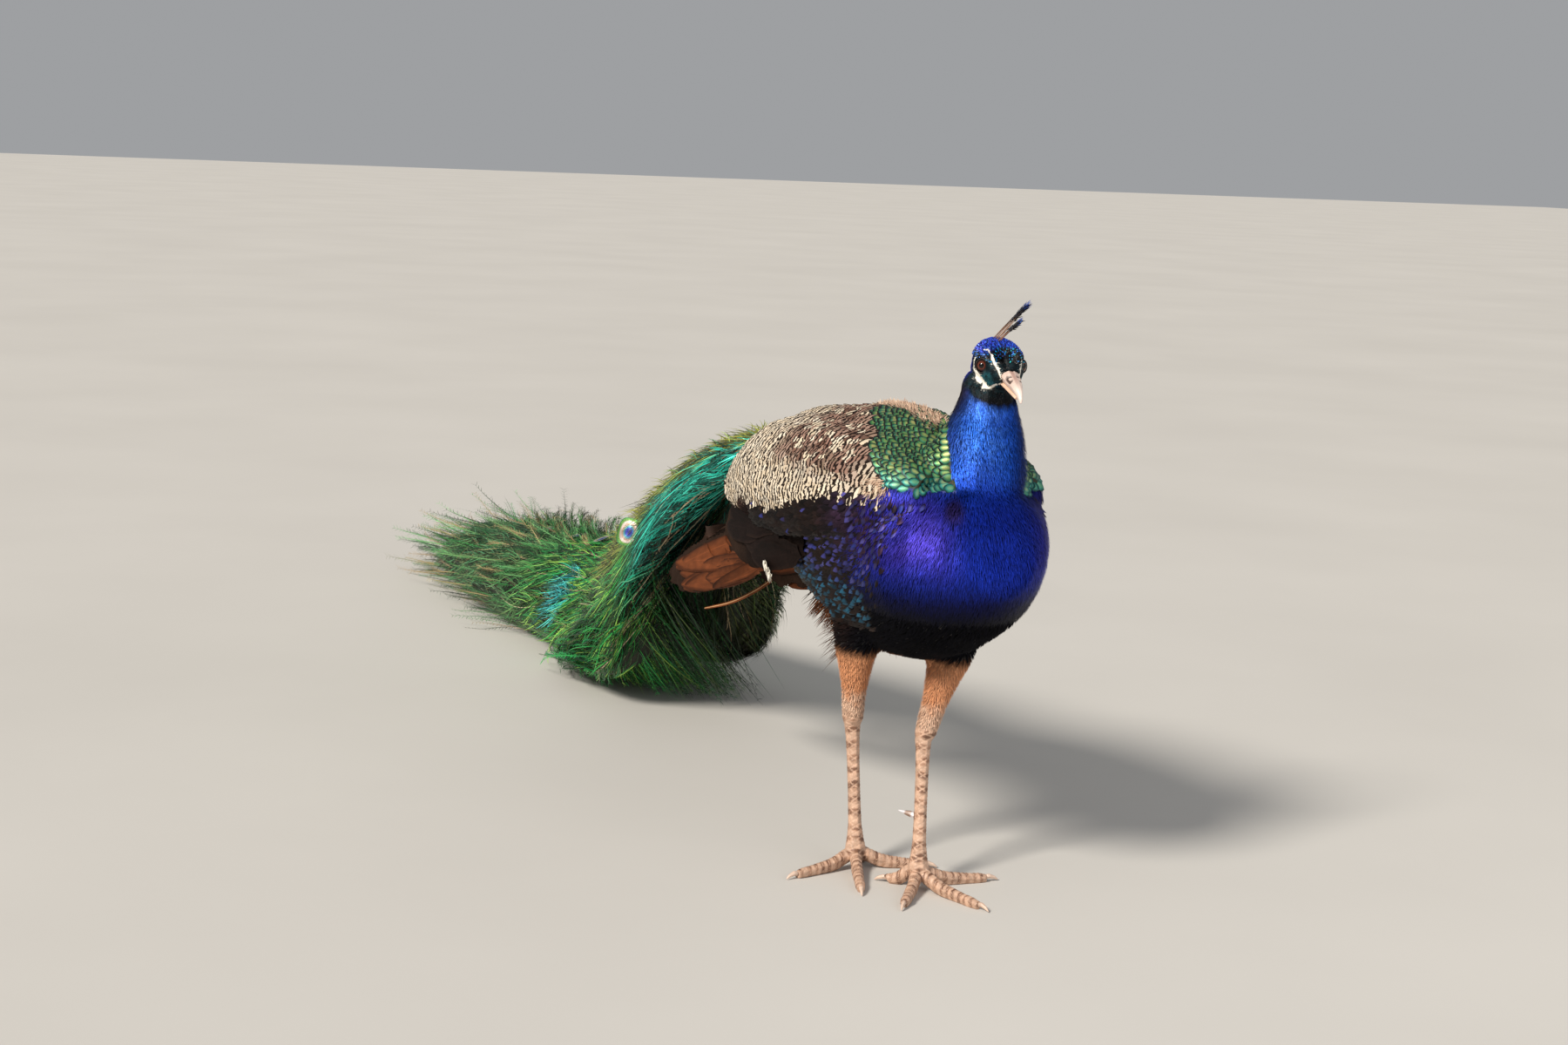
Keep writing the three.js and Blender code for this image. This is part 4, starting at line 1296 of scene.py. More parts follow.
def make_eye(side):
    """A glossy eyeball with a domed cornea, a red-brown iris and a black pupil."""
    axis, level, upright = eye_axes(side)
    upright = upright * SIDES[side]
    rings = np.concatenate([[0.0], np.linspace(3, CORNEA, 26), np.linspace(50, 180, 14)])
    turns = 64
    verts, tints = [], []
    for ring in np.radians(rings):
        for a in np.linspace(0, 2 * math.pi, turns, endpoint=False):
            dome = 0.55 * smooth(math.radians(CORNEA), 0, ring)
            way = axis * math.cos(ring) + (level * math.cos(a) + upright * math.sin(a)) * math.sin(ring)
            verts.append(EYES[side] + way * (EYE_RADIUS - 0.55 + dome))
            radius = np.array(math.sin(ring) * EYE_RADIUS if ring < 1.5 else 12.0)
            iris = layered(rgb(108, 47, 28), (rgb(52, 24, 17), smooth(2.8, 5.2, radius)),
                           (rgb(14, 9, 8), smooth(5.4, 6.2, radius)))
            tints.append(mix(rgb(1, 1, 1), iris, smooth(2.7, 3.0, radius)))
    verts, tints = np.array(verts), np.array(tints)
    grid = np.arange(len(rings) * turns).reshape(len(rings), turns)
    beside = np.roll(grid, -1, axis=1)
    faces = columns(grid[:-1], grid[1:], beside[1:], beside[:-1]).reshape(-1, 4)
    u = np.tile(np.arange(turns) / turns, len(rings))
    own = columns(u, np.repeat(rings / 180, turns), 0.0)
    uv = 0.5 + 0.48 * columns(np.cos(u * 2 * math.pi), np.sin(u * 2 * math.pi)) * own[:, 1:2]
    m = Nodes(f"eye_{side}_wet", Roughness=0.12, Specular_IOR_Level=0.2, Coat_Weight=0.45,
              Coat_Roughness=0.03)
    threads = m.noise(m.stretch(m.attribute("Vane", "Vector"), (26.0, 6.0, 1.0)), 1.0)
    m.paint(m.scaled(m.attribute("Tint"), m.span(threads, 0.3, 0.7, 0.7, 1.3)))
    piece(f"eyeball_{side}", verts, faces, tints, own, uv, m.material, "eyes", f"eye_{side}")


def wrapped_uv(p, axis_from, axis_to):
    """A small solid's map: round its own long axis, and along it."""
    run = unit(axis_to - axis_from)
    side = unit(np.cross(run, np.array([0.3, 0.2, 1.0])))
    up = np.cross(run, side)
    off = p - axis_from
    along = (off @ run) / np.linalg.norm(axis_to - axis_from)
    around = np.arctan2(off @ up, off @ side) / (2 * math.pi) + 0.5
    return columns(0.05 + 0.9 * around, np.clip(0.1 + 0.8 * along, 0.02, 0.98))


def make_bill():
    """Both halves of the bill: nostrils with a raised flap, a ridge along the top and a pale hooked tip."""
    tip = end_of(solid(["bill_upper"])[0], 1)
    root = BETWEEN_EYES + FORWARD * 24 - UPWARD * 7
    slope = unit(tip - root)
    nostril_at = BETWEEN_EYES + FORWARD * 41 - UPWARD * 10
    horn = speckled_stuff("bill_horn", 0.0012, 0.0002, 0.16, Roughness=0.36, Coat_Weight=0.2,
                          Coat_Roughness=0.3)
    for half in ("upper", "lower"):
        verts, faces = fused([f"bill_{half}"], 0.42, 3, swell=0.05)
        normals = corner_normals(verts, faces)
        side = head_axes(verts)[2]
        along = np.clip((verts - root) @ slope / np.linalg.norm(tip - root), 0, 1)
        push = 0.12 * ripple(verts, 7)
        tint = mix(rgb(214, 188, 174), rgb(236, 216, 204), smooth(0.4, 0.95, along))
        if half == "upper":
            off = verts - nostril_at
            u = off @ slope / 6.6
            v = off @ np.cross(slope, TO_LEFT) / 3.0
            lateral = smooth(2.0, 3.5, np.abs(side))
            nostril = smooth(1.1, 0.75, np.hypot(u, v)) * lateral
            flap = smooth(0.8, 0.35, np.hypot(u * 1.6, (v - 0.45) * 1.4)) * lateral
            push = push - 1.8 * nostril + 1.5 * flap
            ridge = smooth(3.2, 1.0, np.abs(side)) * smooth(0.75, 0.3, along)
            tint = mix(tint, rgb(150, 104, 92), ridge * 0.6)
            # painted shade in the nostril's hollow
            tint = mix(tint, rgb(58, 36, 30), np.clip(nostril - flap, 0, 1) * 0.95)
        else:
            tint = mix(tint, rgb(226, 178, 140), 0.6)
        verts = verts + normals * np.asarray(push)[:, None]
        own = columns(side, along, 0 * side)
        uv = wrapped_uv(verts, root, tip)
        piece(f"bill_{half}_horn", verts, faces, tint, own, uv, horn, "horn", f"bill_{half}")


def make_claws():
    """Horny claws and spurs: pale, finely grained and darker at the root."""
    horn = speckled_stuff("claw_horn", 0.001, 0.0002, 0.22, Roughness=0.42, Coat_Weight=0.15,
                          Coat_Roughness=0.35)
    for side in SIDES:
        groups = ((f"claws_{side}", [f"claw_{toe}_{side}" for toe in TOES], "claws"),
                  (f"spur_{side}_horn", [f"spur_{side}"], "horn"))
        for name, nodes, slot in groups:
            verts, faces = fused(nodes, 0.55, 2, swell=0.05)
            foot = verts.mean(axis=0)
            reach = np.linalg.norm(verts - foot, axis=1)
            shade = smooth(0, reach.max(), reach)
            if slot == "claws":
                tint = mix(rgb(150, 112, 90), rgb(216, 188, 168), shade)
            else:
                tint = mix(rgb(150, 122, 106), ASHEN, smooth(0.2, 0.5, shade))
            uv = wrapped_uv(verts, foot - 30, foot + 30)
            piece(name, verts, faces, tint, np.zeros_like(verts), uv, horn, slot, *nodes)


# ---------------------------------------------------------------- crest

def ribbons(points, up, width, outline=pointed, cols=2, camber=0.2):
    """Thin strips along paths. points: strips x rows x 3; up and width: the same for all, or for each."""
    up = np.broadcast_to(up, points.shape)
    along = np.gradient(points, axis=1)
    across = unit(np.cross(along, up))
    s = np.linspace(-1, 1, cols)
    t = np.linspace(0, 1, points.shape[1])[None, :]
    half = (np.broadcast_to(width, len(points))[:, None] / 2 * outline(t))[:, :, None, None]
    grid = points[:, :, None] + across[:, :, None] * half * s[None, None, :, None]
    return grid - unit(up)[:, :, None] * half * camber * (s ** 2)[None, None, :, None]


def crest_feather(coat, foot, end, face, barb_length, rng):
    """One crest feather: a bare tan shaft that darkens upward, and short barbs over its last third."""
    rows, barbs = 9, 20
    t = np.linspace(0, 1, rows)[:, None]
    bend = FORWARD * rng.normal(2.0, 0.8)
    path = foot + (end - foot) * t - bend * 4 * t * (1 - t)
    heading = unit(path[-1] - path[-2])
    spread = unit(np.cross(face, heading))
    place = body_map(foot[None])
    darkening = smooth(0.25, 0.75, np.linspace(0, 1, rows) + rng.normal(0, 0.12))
    shaft = mix(rgb(196, 152, 122), rgb(44, 32, 32), darkening)
    for up in (face, spread):
        strip = ribbons(path[None], up, 0.65, outline=lambda t: 1 - 0.4 * t, cols=3, camber=0.8)
        coat.add(strip, shaft[None, :, None], place, rng.random(1))
    side = np.where(np.arange(barbs) % 2, 1.0, -1.0)
    up_shaft = np.repeat(np.linspace(0.6, 1.0, barbs // 2), 2)
    starts = along_line(up_shaft, t[:, 0], path)
    long = barb_length * (0.6 + 0.9 * smooth(0.55, 0.8, up_shaft)) * rng.uniform(0.8, 1.2, barbs)
    way = unit(heading + spread * side[:, None] * 0.5 + face * rng.normal(0, 0.25, (barbs, 1)))
    steps = down(4)[..., 0]
    barb = starts[:, None] + (way[:, None] * steps + heading * steps ** 2 * 0.3) * long[:, None, None]
    lit = smooth(0.84, 1.0, up_shaft) * (rng.random(barbs) < 0.55)
    tint = mix(rgb(10, 12, 26), mix(BLUE, AZURE, rng.random(barbs)), lit)
    coat.add(ribbons(barb, face, 1.3), tint, np.broadcast_to(place, (barbs, 2)), rng.random(barbs))


def crest_feathers(head):
    """Two tufts of bare shafts with small blue vanes at their ends, the front one shorter."""
    rng = np.random.default_rng(19)
    verts, _ = solid(["crest"])
    low = end_of(verts, 5)
    tip = end_of(verts, 12, top=True) + np.array([0.0, -4.0, 0.0])
    face = unit(np.cross(tip - low, FORWARD))
    coat = Coat()
    front_goal = low + (tip - low) * 0.62 + FORWARD * 10
    tufts = ((11, 1.0, -19.0, tip, 5.0, 3.6), (7, 0.62, -9.0, front_goal, 4.5, 3.4))
    for count, tall, ahead, goal, spread, barb_length in tufts:
        for k in np.linspace(-1, 1, count):
            root, _ = head.nearest((low + UPWARD * 10 + FORWARD * (4.0 * k + ahead))[None])
            foot = root[0] - UPWARD * 2 + face * rng.normal(0, 1.0)
            end = (goal + FORWARD * spread * k + face * rng.normal(0, 1.3)
                   - unit(tip - low) * rng.uniform(0, 7) * tall)
            crest_feather(coat, foot, end, face, barb_length, rng)
    stuff = feather_stuff("crest_vanes", 1.0, 0.15, 0.1, Roughness=0.35, Metallic=0.3)
    coat.build("crest_fan", stuff, "crest_feathers", "crest")


# ---------------------------------------------------------------- quills of the wings and the tail

def quill_stuff(name, **fixed):
    """A long feather: a pale shaft down its middle and fine slanting barbs, lighter and darker in soft
    clouds.
    """
    m = Nodes(name, **fixed)
    vane, parts = m.vane()
    reach = m.math("ABSOLUTE", parts[0])
    slant = m.math("MULTIPLY_ADD", reach, -0.16, parts[1])
    fine = m.wave(slant, 420.0)
    cloud = m.cloud(m.stretch(vane, (1.0, 7.0, 47.0)), 1.5, -1.0, 1.0)
    shade = m.math("ADD", m.math("MULTIPLY", fine, 0.25), cloud)
    tinted = m.tinted(shade, 0.22)
    shaft = m.span(reach, 0.02, 0.05, 0.4, 0.0)
    m.paint(m.blend(shaft, tinted, m.scaled(m.attribute("Tint"), 1.9)))
    m.bump(fine, 0.25, 0.0003)
    return m.material


def quill_row(name, surface, side, starts, ends, count, width, tint, rim, stuff, slot, rng, depth=(1.5, 3.5)):
    """Overlapping quills on a wing's outer face. starts and ends: (y, z) of the first and the last quill."""
    sign = SIDES[side]
    k = np.linspace(0, 1, count)
    places = []
    for first, last in (starts, ends):
        y, z = (first[i] + (last[i] - first[i]) * k + rng.normal(0, 1.5, count) for i in (0, 1))
        outside = columns(400.0 * sign, y, z)
        on, _ = surface.nearest(outside - [200.0 * sign, 0.0, 0.0])
        hit, _, found = surface.cast(outside, np.broadcast_to([-sign, 0.0, 0.0], outside.shape))
        places.append(np.where(found[:, None], hit, on))
    roots, normals = surface.nearest(places[0])
    flow = places[1] - places[0]
    length = np.linalg.norm(flow, axis=1)
    rows, cols = 22, 9
    layer = depth[0] + (depth[1] - depth[0]) * k
    grid = vanes(surface, roots, normals, unit(flow), length, width, layer, rows, cols, rng,
                 outline=rounded, camber=0.12, rise=lambda t: 0.5 + 0.5 * smooth(0, 0.5, t))
    s = sideways(cols)
    edge = smooth(0.80, 0.98, np.hypot(s, np.clip(down(rows)[..., 0] - 0.6, 0, 1) * 2.3))
    base = bright(tint, rng, 0.75, 1.25, count)
    # painted shade on the half of each quill that lies under its neighbour's edge
    crease = 0.55 + 0.5 * smooth(-1.0, -0.2, s * sign)[..., None]
    tint = mix(base[:, None, None], rim, edge) * crease
    one_coat(name, stuff, slot, grid, tint, columns(0.1 + 0.8 * k, 0.5), rng.random(count), 0.06)


def wing_quills():
    """The secondaries, the primaries and the primaries' coverts of both wings."""
    rng = np.random.default_rng(23)
    dark = quill_stuff("secondary_quills", Roughness=0.75, Specular_IOR_Level=0.06)
    warm = quill_stuff("primary_quills", Roughness=0.75, Specular_IOR_Level=0.1)
    for side in SIDES:
        blade = Surface(*fused([f"wing_secondaries_{side}"], 4.0, 16))
        quill_row(f"secondaries_{side}", blade, side, ((60, 330), (170, 385)), ((150, 318), (335, 372)),
                  9, 34, rgb(22, 14, 12), rgb(34, 23, 19), dark, "flight_feathers", rng)
        blade = Surface(*fused([f"wing_primaries_{side}"], 4.0, 16))
        quill_row(f"primaries_{side}", blade, side, ((185, 296), (270, 352)), ((425, 240), (500, 308)),
                  15, 26, RUFOUS * 0.85, RUFOUS * 0.4, warm, "primary_feathers", rng)
        quill_row(f"primary_coverts_{side}", blade, side, ((180, 300), (235, 340)), ((335, 262), (400, 318)),
                  12, 20, RUFOUS * 0.75, RUFOUS * 0.35, warm, "primary_feathers", rng, depth=(3.5, 5.0))


LOOSE_QUILL = np.array([[-55, 218, 293], [-55, 258, 272], [-55, 327, 243], [-55, 413, 219]], dtype=float)


def loose_quills():
    """Two long rufous feathers that have slipped below the folded wing, with cream shafts."""
    coat = Coat()
    rows = 24
    t = np.linspace(0, 3, rows)
    path = along_line(t, range(4), LOOSE_QUILL)
    path = np.apply_along_axis(TrainForm.even, 0, path, 7)
    up = unit(np.array([-1.0, 0.0, 0.3]))
    for shift, width, tint in (((0, 0, 0), 6.0, RUFOUS * 1.2), ((-0.4, 0, 0), 1.4, rgb(206, 164, 120)),
                               ((3, 26, 16), 6.0, RUFOUS), ((2.6, 26, 16), 1.4, rgb(190, 146, 106))):
        strip = ribbons((path + shift)[None], up, width, outline=lambda t: 1 - 0.6 * t ** 2, cols=3)
        coat.add(strip, tint, np.array([[0.5, 0.5]]), np.array([0.4]), 0.05)
    coat.build("loose_quills", bpy.data.materials["primary_quills"], "primary_feathers")


def tail_quills():
    """The short brown tail that props the train up."""
    rng = np.random.default_rng(29)
    fan = Surface(*fused(["tail"], 4.0, 4))
    brown = quill_stuff("tail_quills", Roughness=0.65)
    low, high = fan.verts.min(axis=0), fan.verts.max(axis=0)
    coat = Coat()
    for face in (1, -1):
        count = 12
        k = np.linspace(0.06, 0.94, count)
        across = low[0] + (high[0] - low[0]) * k
        roots, normals = fan.nearest(columns(across * 0.5, low[1] + 12, 330 + 60.0 * face))
        flow = columns(0.16 + 0.22 * (k - 0.5), 1.0, -0.42)
        long = (high[1] - low[1]) * (1.02 - 0.15 * np.abs(k - 0.5))
        grid = vanes(fan, roots, normals, flow, long, 30.0, 1.0 + rng.uniform(0, 1.5, count), 24, 7, rng,
                     outline=rounded, camber=0.1, rise=lambda t: 0.6 + 0.4 * t)
        tint = bright(rgb(84, 52, 34), rng, 0.7, 1.2, count)
        coat.add(grid, tint, columns(0.1 + 0.8 * k, 0.3 + 0.2 * face), rng.random(count), 0.06)
    coat.build("tail_quills", brown, "tail_feathers")


# ---------------------------------------------------------------- train

class TrainForm:
    """The train as a tube: the middle of its section at each place along it, and its reach at each angle.

    Angle 90 is the top, 180 the bird's right side, 0 its left side.
    """

    def __init__(self, stations=84, angles=72):
        verts, tris = solid(TRAIN_NODES)
        self.y = np.linspace(verts[:, 1].min() + 3, verts[:, 1].max() - 5, stations)
        self.angles = np.linspace(-180, 180, angles + 1)
        tree = BVHTree.FromPolygons(verts.tolist(), tris.tolist())
        self.middle = np.array([self.section(verts, tris, y) for y in self.y])
        for i in range(2):
            self.middle[:, i] = self.even(self.middle[:, i], 5)
        way = self.outward(self.angles)
        self.reach = np.zeros((stations, len(way)))
        for i, y in enumerate(self.y):
            centre = np.array([self.middle[i, 0], y, self.middle[i, 1]])
            for j, w in enumerate(way):
                hit = tree.ray_cast((centre + 400 * w).tolist(), (-w).tolist())[3]
                self.reach[i, j] = 400 - hit if hit is not None else -1
        self.reach = np.where(self.reach > 4, self.reach, 4.0)
        self.reach = np.apply_along_axis(self.even, 0, self.reach, 3)
        wrapped = np.concatenate([self.reach[:, -3:-1], self.reach, self.reach[:, 1:3]], axis=1)
        self.reach = np.apply_along_axis(self.even, 1, wrapped, 3)[:, 2:-2]

    @staticmethod
    def section(verts, tris, y):
        """Middle of the box round the train's section at one place along it, as x and z."""
        edges = np.concatenate([tris[:, [0, 1]], tris[:, [1, 2]], tris[:, [2, 0]]])
        a, b = verts[edges[:, 0]], verts[edges[:, 1]]
        cut = (a[:, 1] - y) * (b[:, 1] - y) < 0
        a, b = a[cut], b[cut]
        t = (y - a[:, 1]) / (b[:, 1] - a[:, 1])
        p = (a + (b - a) * t[:, None])[:, [0, 2]]
        return (p.min(axis=0) + p.max(axis=0)) / 2

    @staticmethod
    def even(values, window):
        """A running mean that keeps the ends in place."""
        padded = np.pad(values, window // 2, mode="edge")
        return np.convolve(padded, np.ones(window) / window, mode="valid")

    def radius(self, y, angle):
        i = np.clip(np.interp(y, self.y, np.arange(len(self.y))), 0, len(self.y) - 1.001)
        j = ((angle + 180) % 360) / 360 * (len(self.angles) - 1)
        i0, j0 = i.astype(int), j.astype(int)
        fi, fj = i - i0, j - j0
        j1 = np.minimum(j0 + 1, len(self.angles) - 1)
        low = self.reach[i0, j0] * (1 - fj) + self.reach[i0, j1] * fj
        return low * (1 - fi) + (self.reach[i0 + 1, j0] * (1 - fj) + self.reach[i0 + 1, j1] * fj) * fi

    def place(self, y, angle, lift):
        """The point at a place along the train, an angle round it, and a height over its surface."""
        r = np.maximum(self.radius(y, angle) + lift, 1.0)
        turn = np.radians(angle)
        x = np.interp(y, self.y, self.middle[:, 0]) + r * np.cos(turn)
        z = np.interp(y, self.y, self.middle[:, 1]) + r * np.sin(turn)
        return columns(x, y, np.maximum(z, FLOOR_GAP))

    @staticmethod
    def outward(angle):
        """The way out of the train at an angle round it."""
        turn = np.radians(angle)
        return columns(np.cos(turn), 0 * turn, np.sin(turn))

    def map(self, y, angle):
        """The tube opened along its underside."""
        share = (y - self.y[0]) / (self.y[-1] - self.y[0])
        return columns(0.03 + 0.94 * (((angle + 90) % 360) / 360), 0.02 + 0.96 * share)


def from_left(angle):
    """An angle round the train as -90 to 270: 0 its left side, 90 the top, 180 its right side."""
    return np.mod(angle + 90, 360) - 90


def under_share(y, angle):
    """1 along the underside of the train's first half, which train_colour darkens as painted shade."""
    return np.maximum(smooth(236, 248, angle), smooth(-28, -44, angle)) * smooth(960, 860, y)


def train_colour(y, angle, rng, which):
    """Emerald barbs, olive on top, turquoise low on the right side of the root, drab at the far end, with
    painted highlights on some barbs and painted shade on the underside of the first half.
    """
    angle = from_left(angle)
    flick, other = rng.random((2, *y.shape))
    olive = smooth(48, 66, angle) * smooth(166, 148, angle) * smooth(1010, 900, y)
    band = smooth(148, 166, angle) * smooth(242, 232, angle) * smooth(690, 570, y - 0.5 * (angle - 190))
    # the brightest turquoise on some barbs of the band is a painted highlight
    shine = mix(mix(rgb(6, 110, 98), rgb(12, 146, 132), other), rgb(34, 184, 168), smooth(0.55, 0.9, flick))
    patch = smooth(46, 26, np.hypot(y - 1110, (angle - 176) * 1.7))
    drab = layered(rgb(150, 122, 84), (rgb(96, 104, 90), other), (rgb(12, 34, 26), smooth(0.35, 0.5, flick)),
                   (TEAL, smooth(0.6, 0.85, flick)))
    colour = layered(rgb(6, 100, 56), (rgb(44, 156, 66), other),
                     # painted highlight: yellow-green on some barbs at random
                     (rgb(142, 184, 74), smooth(0.55, 0.95, flick)),
                     (mix(rgb(96, 92, 24), rgb(150, 140, 60), other), olive * 0.85), (shine, band * 0.9),
                     # painted shade: the underside of the train's first half darkened to brown-black
                     (mix(rgb(20, 15, 11), rgb(52, 36, 22), other), under_share(y, angle) * 0.9),
                     (mix(rgb(30, 150, 160), rgb(90, 220, 214), other), patch),
                     (drab, smooth(1140, 1440, y) * 0.6))
    clump = smooth(-0.4, 0.5, np.sin(y / 17 + which * 2.3) + 0.6 * np.sin(y / 41 + which * 1.1))
    return colour * (0.2 + 1.3 * clump)[..., None]


TRAIN_ROOT = 306  # y of the first shafts' roots
LONGEST = 1520  # how much longer the longest train feathers are than the shortest
# the pieces that the train's barbs are split into, and the y where each begins and ends
TRAIN_LENGTHS = (("root", 0, 620), ("middle", 620, 1100), ("end", 1100, 3000))
BARBS, STRANDS, WISPS = (int(n * FULL) for n in (52000, 1500, 420))


class TrainFeathers:
    """Where the shafts of the train run: rows of arrays, one row for each feather."""

    def __init__(self, rng, count=150):
        self.count = count
        k = (np.arange(count) + 0.5) / count
        order = rng.permutation(count)
        self.end_angle = -62 + 300 * k[order]
        self.root_angle = 90 + (self.end_angle - 88) * 0.97
        self.length_share = np.sqrt(rng.uniform(0.012, 1.0, count))
        self.start = TRAIN_ROOT + rng.uniform(0, 40, count)
        self.end = self.start + 60 + self.length_share * LONGEST
        self.level = -rng.uniform(1, 9, count)

    def at(self, which, share):
        """y, angle and lift along the chosen feathers, at a share of their length."""
        y = self.start[which] + (self.end[which] - self.start[which]) * share
        drift = smooth(0, 1, np.clip((y - 300) / 700, 0, 1))
        angle = self.root_angle[which] + (self.end_angle[which] - self.root_angle[which]) * drift
        angle = angle + 5 * np.sin(y / 90 + which * 1.7)
        return y, angle, self.level[which] + 3 * np.sin(y / 60 + which)


def train_shade_layer(form):
    """The underlayer of the train, a closed tube just inside its barbs, painted dark as the shade deep among
    them.
    """
    y = form.y[:, None]
    angle = form.angles[None, :-1]
    lift = -7.0 + 1.5 * np.sin(y / 23 + angle / 9)
    ys, angles = np.broadcast_arrays(y, angle)
    grid = form.place(ys, angles, lift)
    n, m = grid.shape[:2]
    index = np.arange(n * m).reshape(n, m)
    right = np.roll(index, -1, axis=1)
    faces = columns(index[:-1], right[:-1], right[1:], index[1:]).reshape(-1, 4)
    caps = [columns(row[:m // 2 - 1], row[1:m // 2], row[::-1][:m // 2][1:], row[::-1][:m // 2 - 1])
            for row in (index[0], index[-1][::-1])]
    faces = np.concatenate([faces, *caps])
    verts = grid.reshape(-1, 3)
    # painted shade: dark green-brown, the shade deep inside the train
    tint = mix(rgb(16, 30, 20), rgb(44, 40, 26), 0.5 + 0.5 * ripple(verts, 50))
    uv = form.map(ys.ravel(), angles.ravel())
    stuff = speckled_stuff("train_shade_layer", 0.004, 0.002, 0.5, Roughness=0.85)
    piece("train_underlayer", verts, faces, tint, np.zeros_like(verts), uv, stuff, "train_feathers",
          *TRAIN_NODES)


def barb_paths(form, y, angle, lift, side, long, slope, droop, loose, rows):
    """Barbs that leave a shaft to one side, bend towards its tip, sag, and stand a little off the train."""
    t = np.linspace(0, 1, rows)[None, :]
    across = side[:, None] * long[:, None] * (slope[:, None] * t * (1 - 0.45 * t))
    straight = np.sqrt(np.maximum(1.15 - slope[:, None] ** 2 * 0.6, 0.1))
    ahead = long[:, None] * (0.55 * t + 0.45 * t ** 2) * straight
    radius = np.maximum(form.radius(y, angle), 22)[:, None]
    downhill = np.sign(np.sin(np.radians(angle - 90)))[:, None]
    turned = angle[:, None] + np.degrees((across + downhill * droop[:, None] * t ** 2) / radius)
    along = y[:, None] + ahead
    return form.place(along, turned, lift[:, None] + loose[:, None] * t), form.outward(turned)


def train_barbs(form, feathers, rng):
    """The loose green barbs that clothe every shaft, in three lengths of the train."""
    stuff = feather_stuff("train_barbs", 1.0, 0.25, 0.1, Roughness=0.36, Metallic=0.4)
    total, rows = BARBS, 5
    length = feathers.end - feathers.start
    which = rng.choice(feathers.count, total, p=length / length.sum())
    y, angle, lift = feathers.at(which, rng.random(total))
    side = np.where(rng.random(total) < 0.5, 1.0, -1.0)
    fine = smooth(300, 520, y)
    long = (20 + 38 * fine) * rng.uniform(0.7, 1.25, total)
    slope = rng.uniform(0.25, 0.85, total)
    droop = 6 * rng.random(total) * fine
    seen = from_left(angle)
    crown = smooth(60, 100, seen) * smooth(160, 140, seen) * smooth(600, 700, y) * smooth(960, 900, y)
    far = smooth(1200, 1500, y)
    loose = (rng.uniform(-2, 7, total) + 12 * under_share(y, seen) * rng.random(total)
             + 12 * (rng.random(total) < 0.08) + (22 * crown + 14 * far) * rng.random(total) ** 2)
    slope = slope * (1 + 0.5 * far * rng.normal(0, 1, total))
    paths, up = barb_paths(form, y, angle, lift, side, long, slope, droop, loose, rows)
    tuft = np.sin(y / 13 + 4 * np.sin(angle / 9)) * np.sin(angle / 6 + y / 47)
    # painted shade on barbs that lie deep in the train and in the gaps between the tufts at its rear
    depth_shade = np.clip(smooth(4.5, -4.0, loose + 0.6 * lift) + 0.45 * far * smooth(0.25, -0.4, tuft), 0, 1)
    tint = train_colour(y, angle, rng, which) * (1.25 - 0.95 * depth_shade)[:, None]
    grid = ribbons(paths, up, rng.uniform(0.9, 1.7, total))
    for name, low, high in TRAIN_LENGTHS:
        here = (y >= low) & (y < high)
        shaded = tint[here][:, None, None] * (0.65 + 0.6 * down(rows))
        one_coat(f"train_barbs_{name}", stuff, "train_feathers", grid[here], shaded,
                 form.map(y[here], angle[here]), rng.random(here.sum()))


def train_shafts(form, feathers, rng):
    """The pale shafts, seen where the barbs part."""
    rows = 40
    which = np.repeat(np.arange(feathers.count)[:, None], rows, axis=1)
    share = np.broadcast_to(np.linspace(0, 1, rows)[None], which.shape)
    y, angle, lift = feathers.at(which, share)
    paths = form.place(y, angle, lift + 0.5)
    grid = ribbons(paths, form.outward(angle), 2.2, outline=lambda t: 1 - 0.7 * t, cols=3, camber=0.8)
    tint = mix(rgb(214, 196, 160), rgb(120, 96, 60), rng.random(feathers.count))
    stuff = speckled_stuff("train_shafts", 0.002, 0.0003, 0.2, Roughness=0.4)
    one_coat("train_shafts", stuff, "train_feathers", grid, tint,
             form.map(feathers.start, feathers.root_angle), rng.random(feathers.count), 0.01)


def ocellus_colour(radius, turn):
    """The eyespot's rings from its middle out: violet heart, turquoise, bronze, gold-green."""
    r = radius + 0.10 * np.cos(turn) * smooth(0.45, 0.1, radius)
    return layered(rgb(40, 28, 110), *((tone, smooth(low, high, r)) for tone, low, high in EYESPOT_RINGS))


# each ring's colour, and where it begins and is full as shares of the eyespot's radius
EYESPOT_RINGS = ((rgb(60, 70, 170), 0.16, 0.28), (rgb(60, 150, 160), 0.32, 0.38),
                 (rgb(176, 140, 120), 0.42, 0.5), (rgb(200, 184, 176), 0.56, 0.66),
                 (rgb(92, 140, 60), 0.76, 0.82), (rgb(30, 110, 66), 0.90, 1.0))


EYESPOT_NEAR = (700, 168, 0.85)  # along, angle, size of the one that is turned outward on the right side


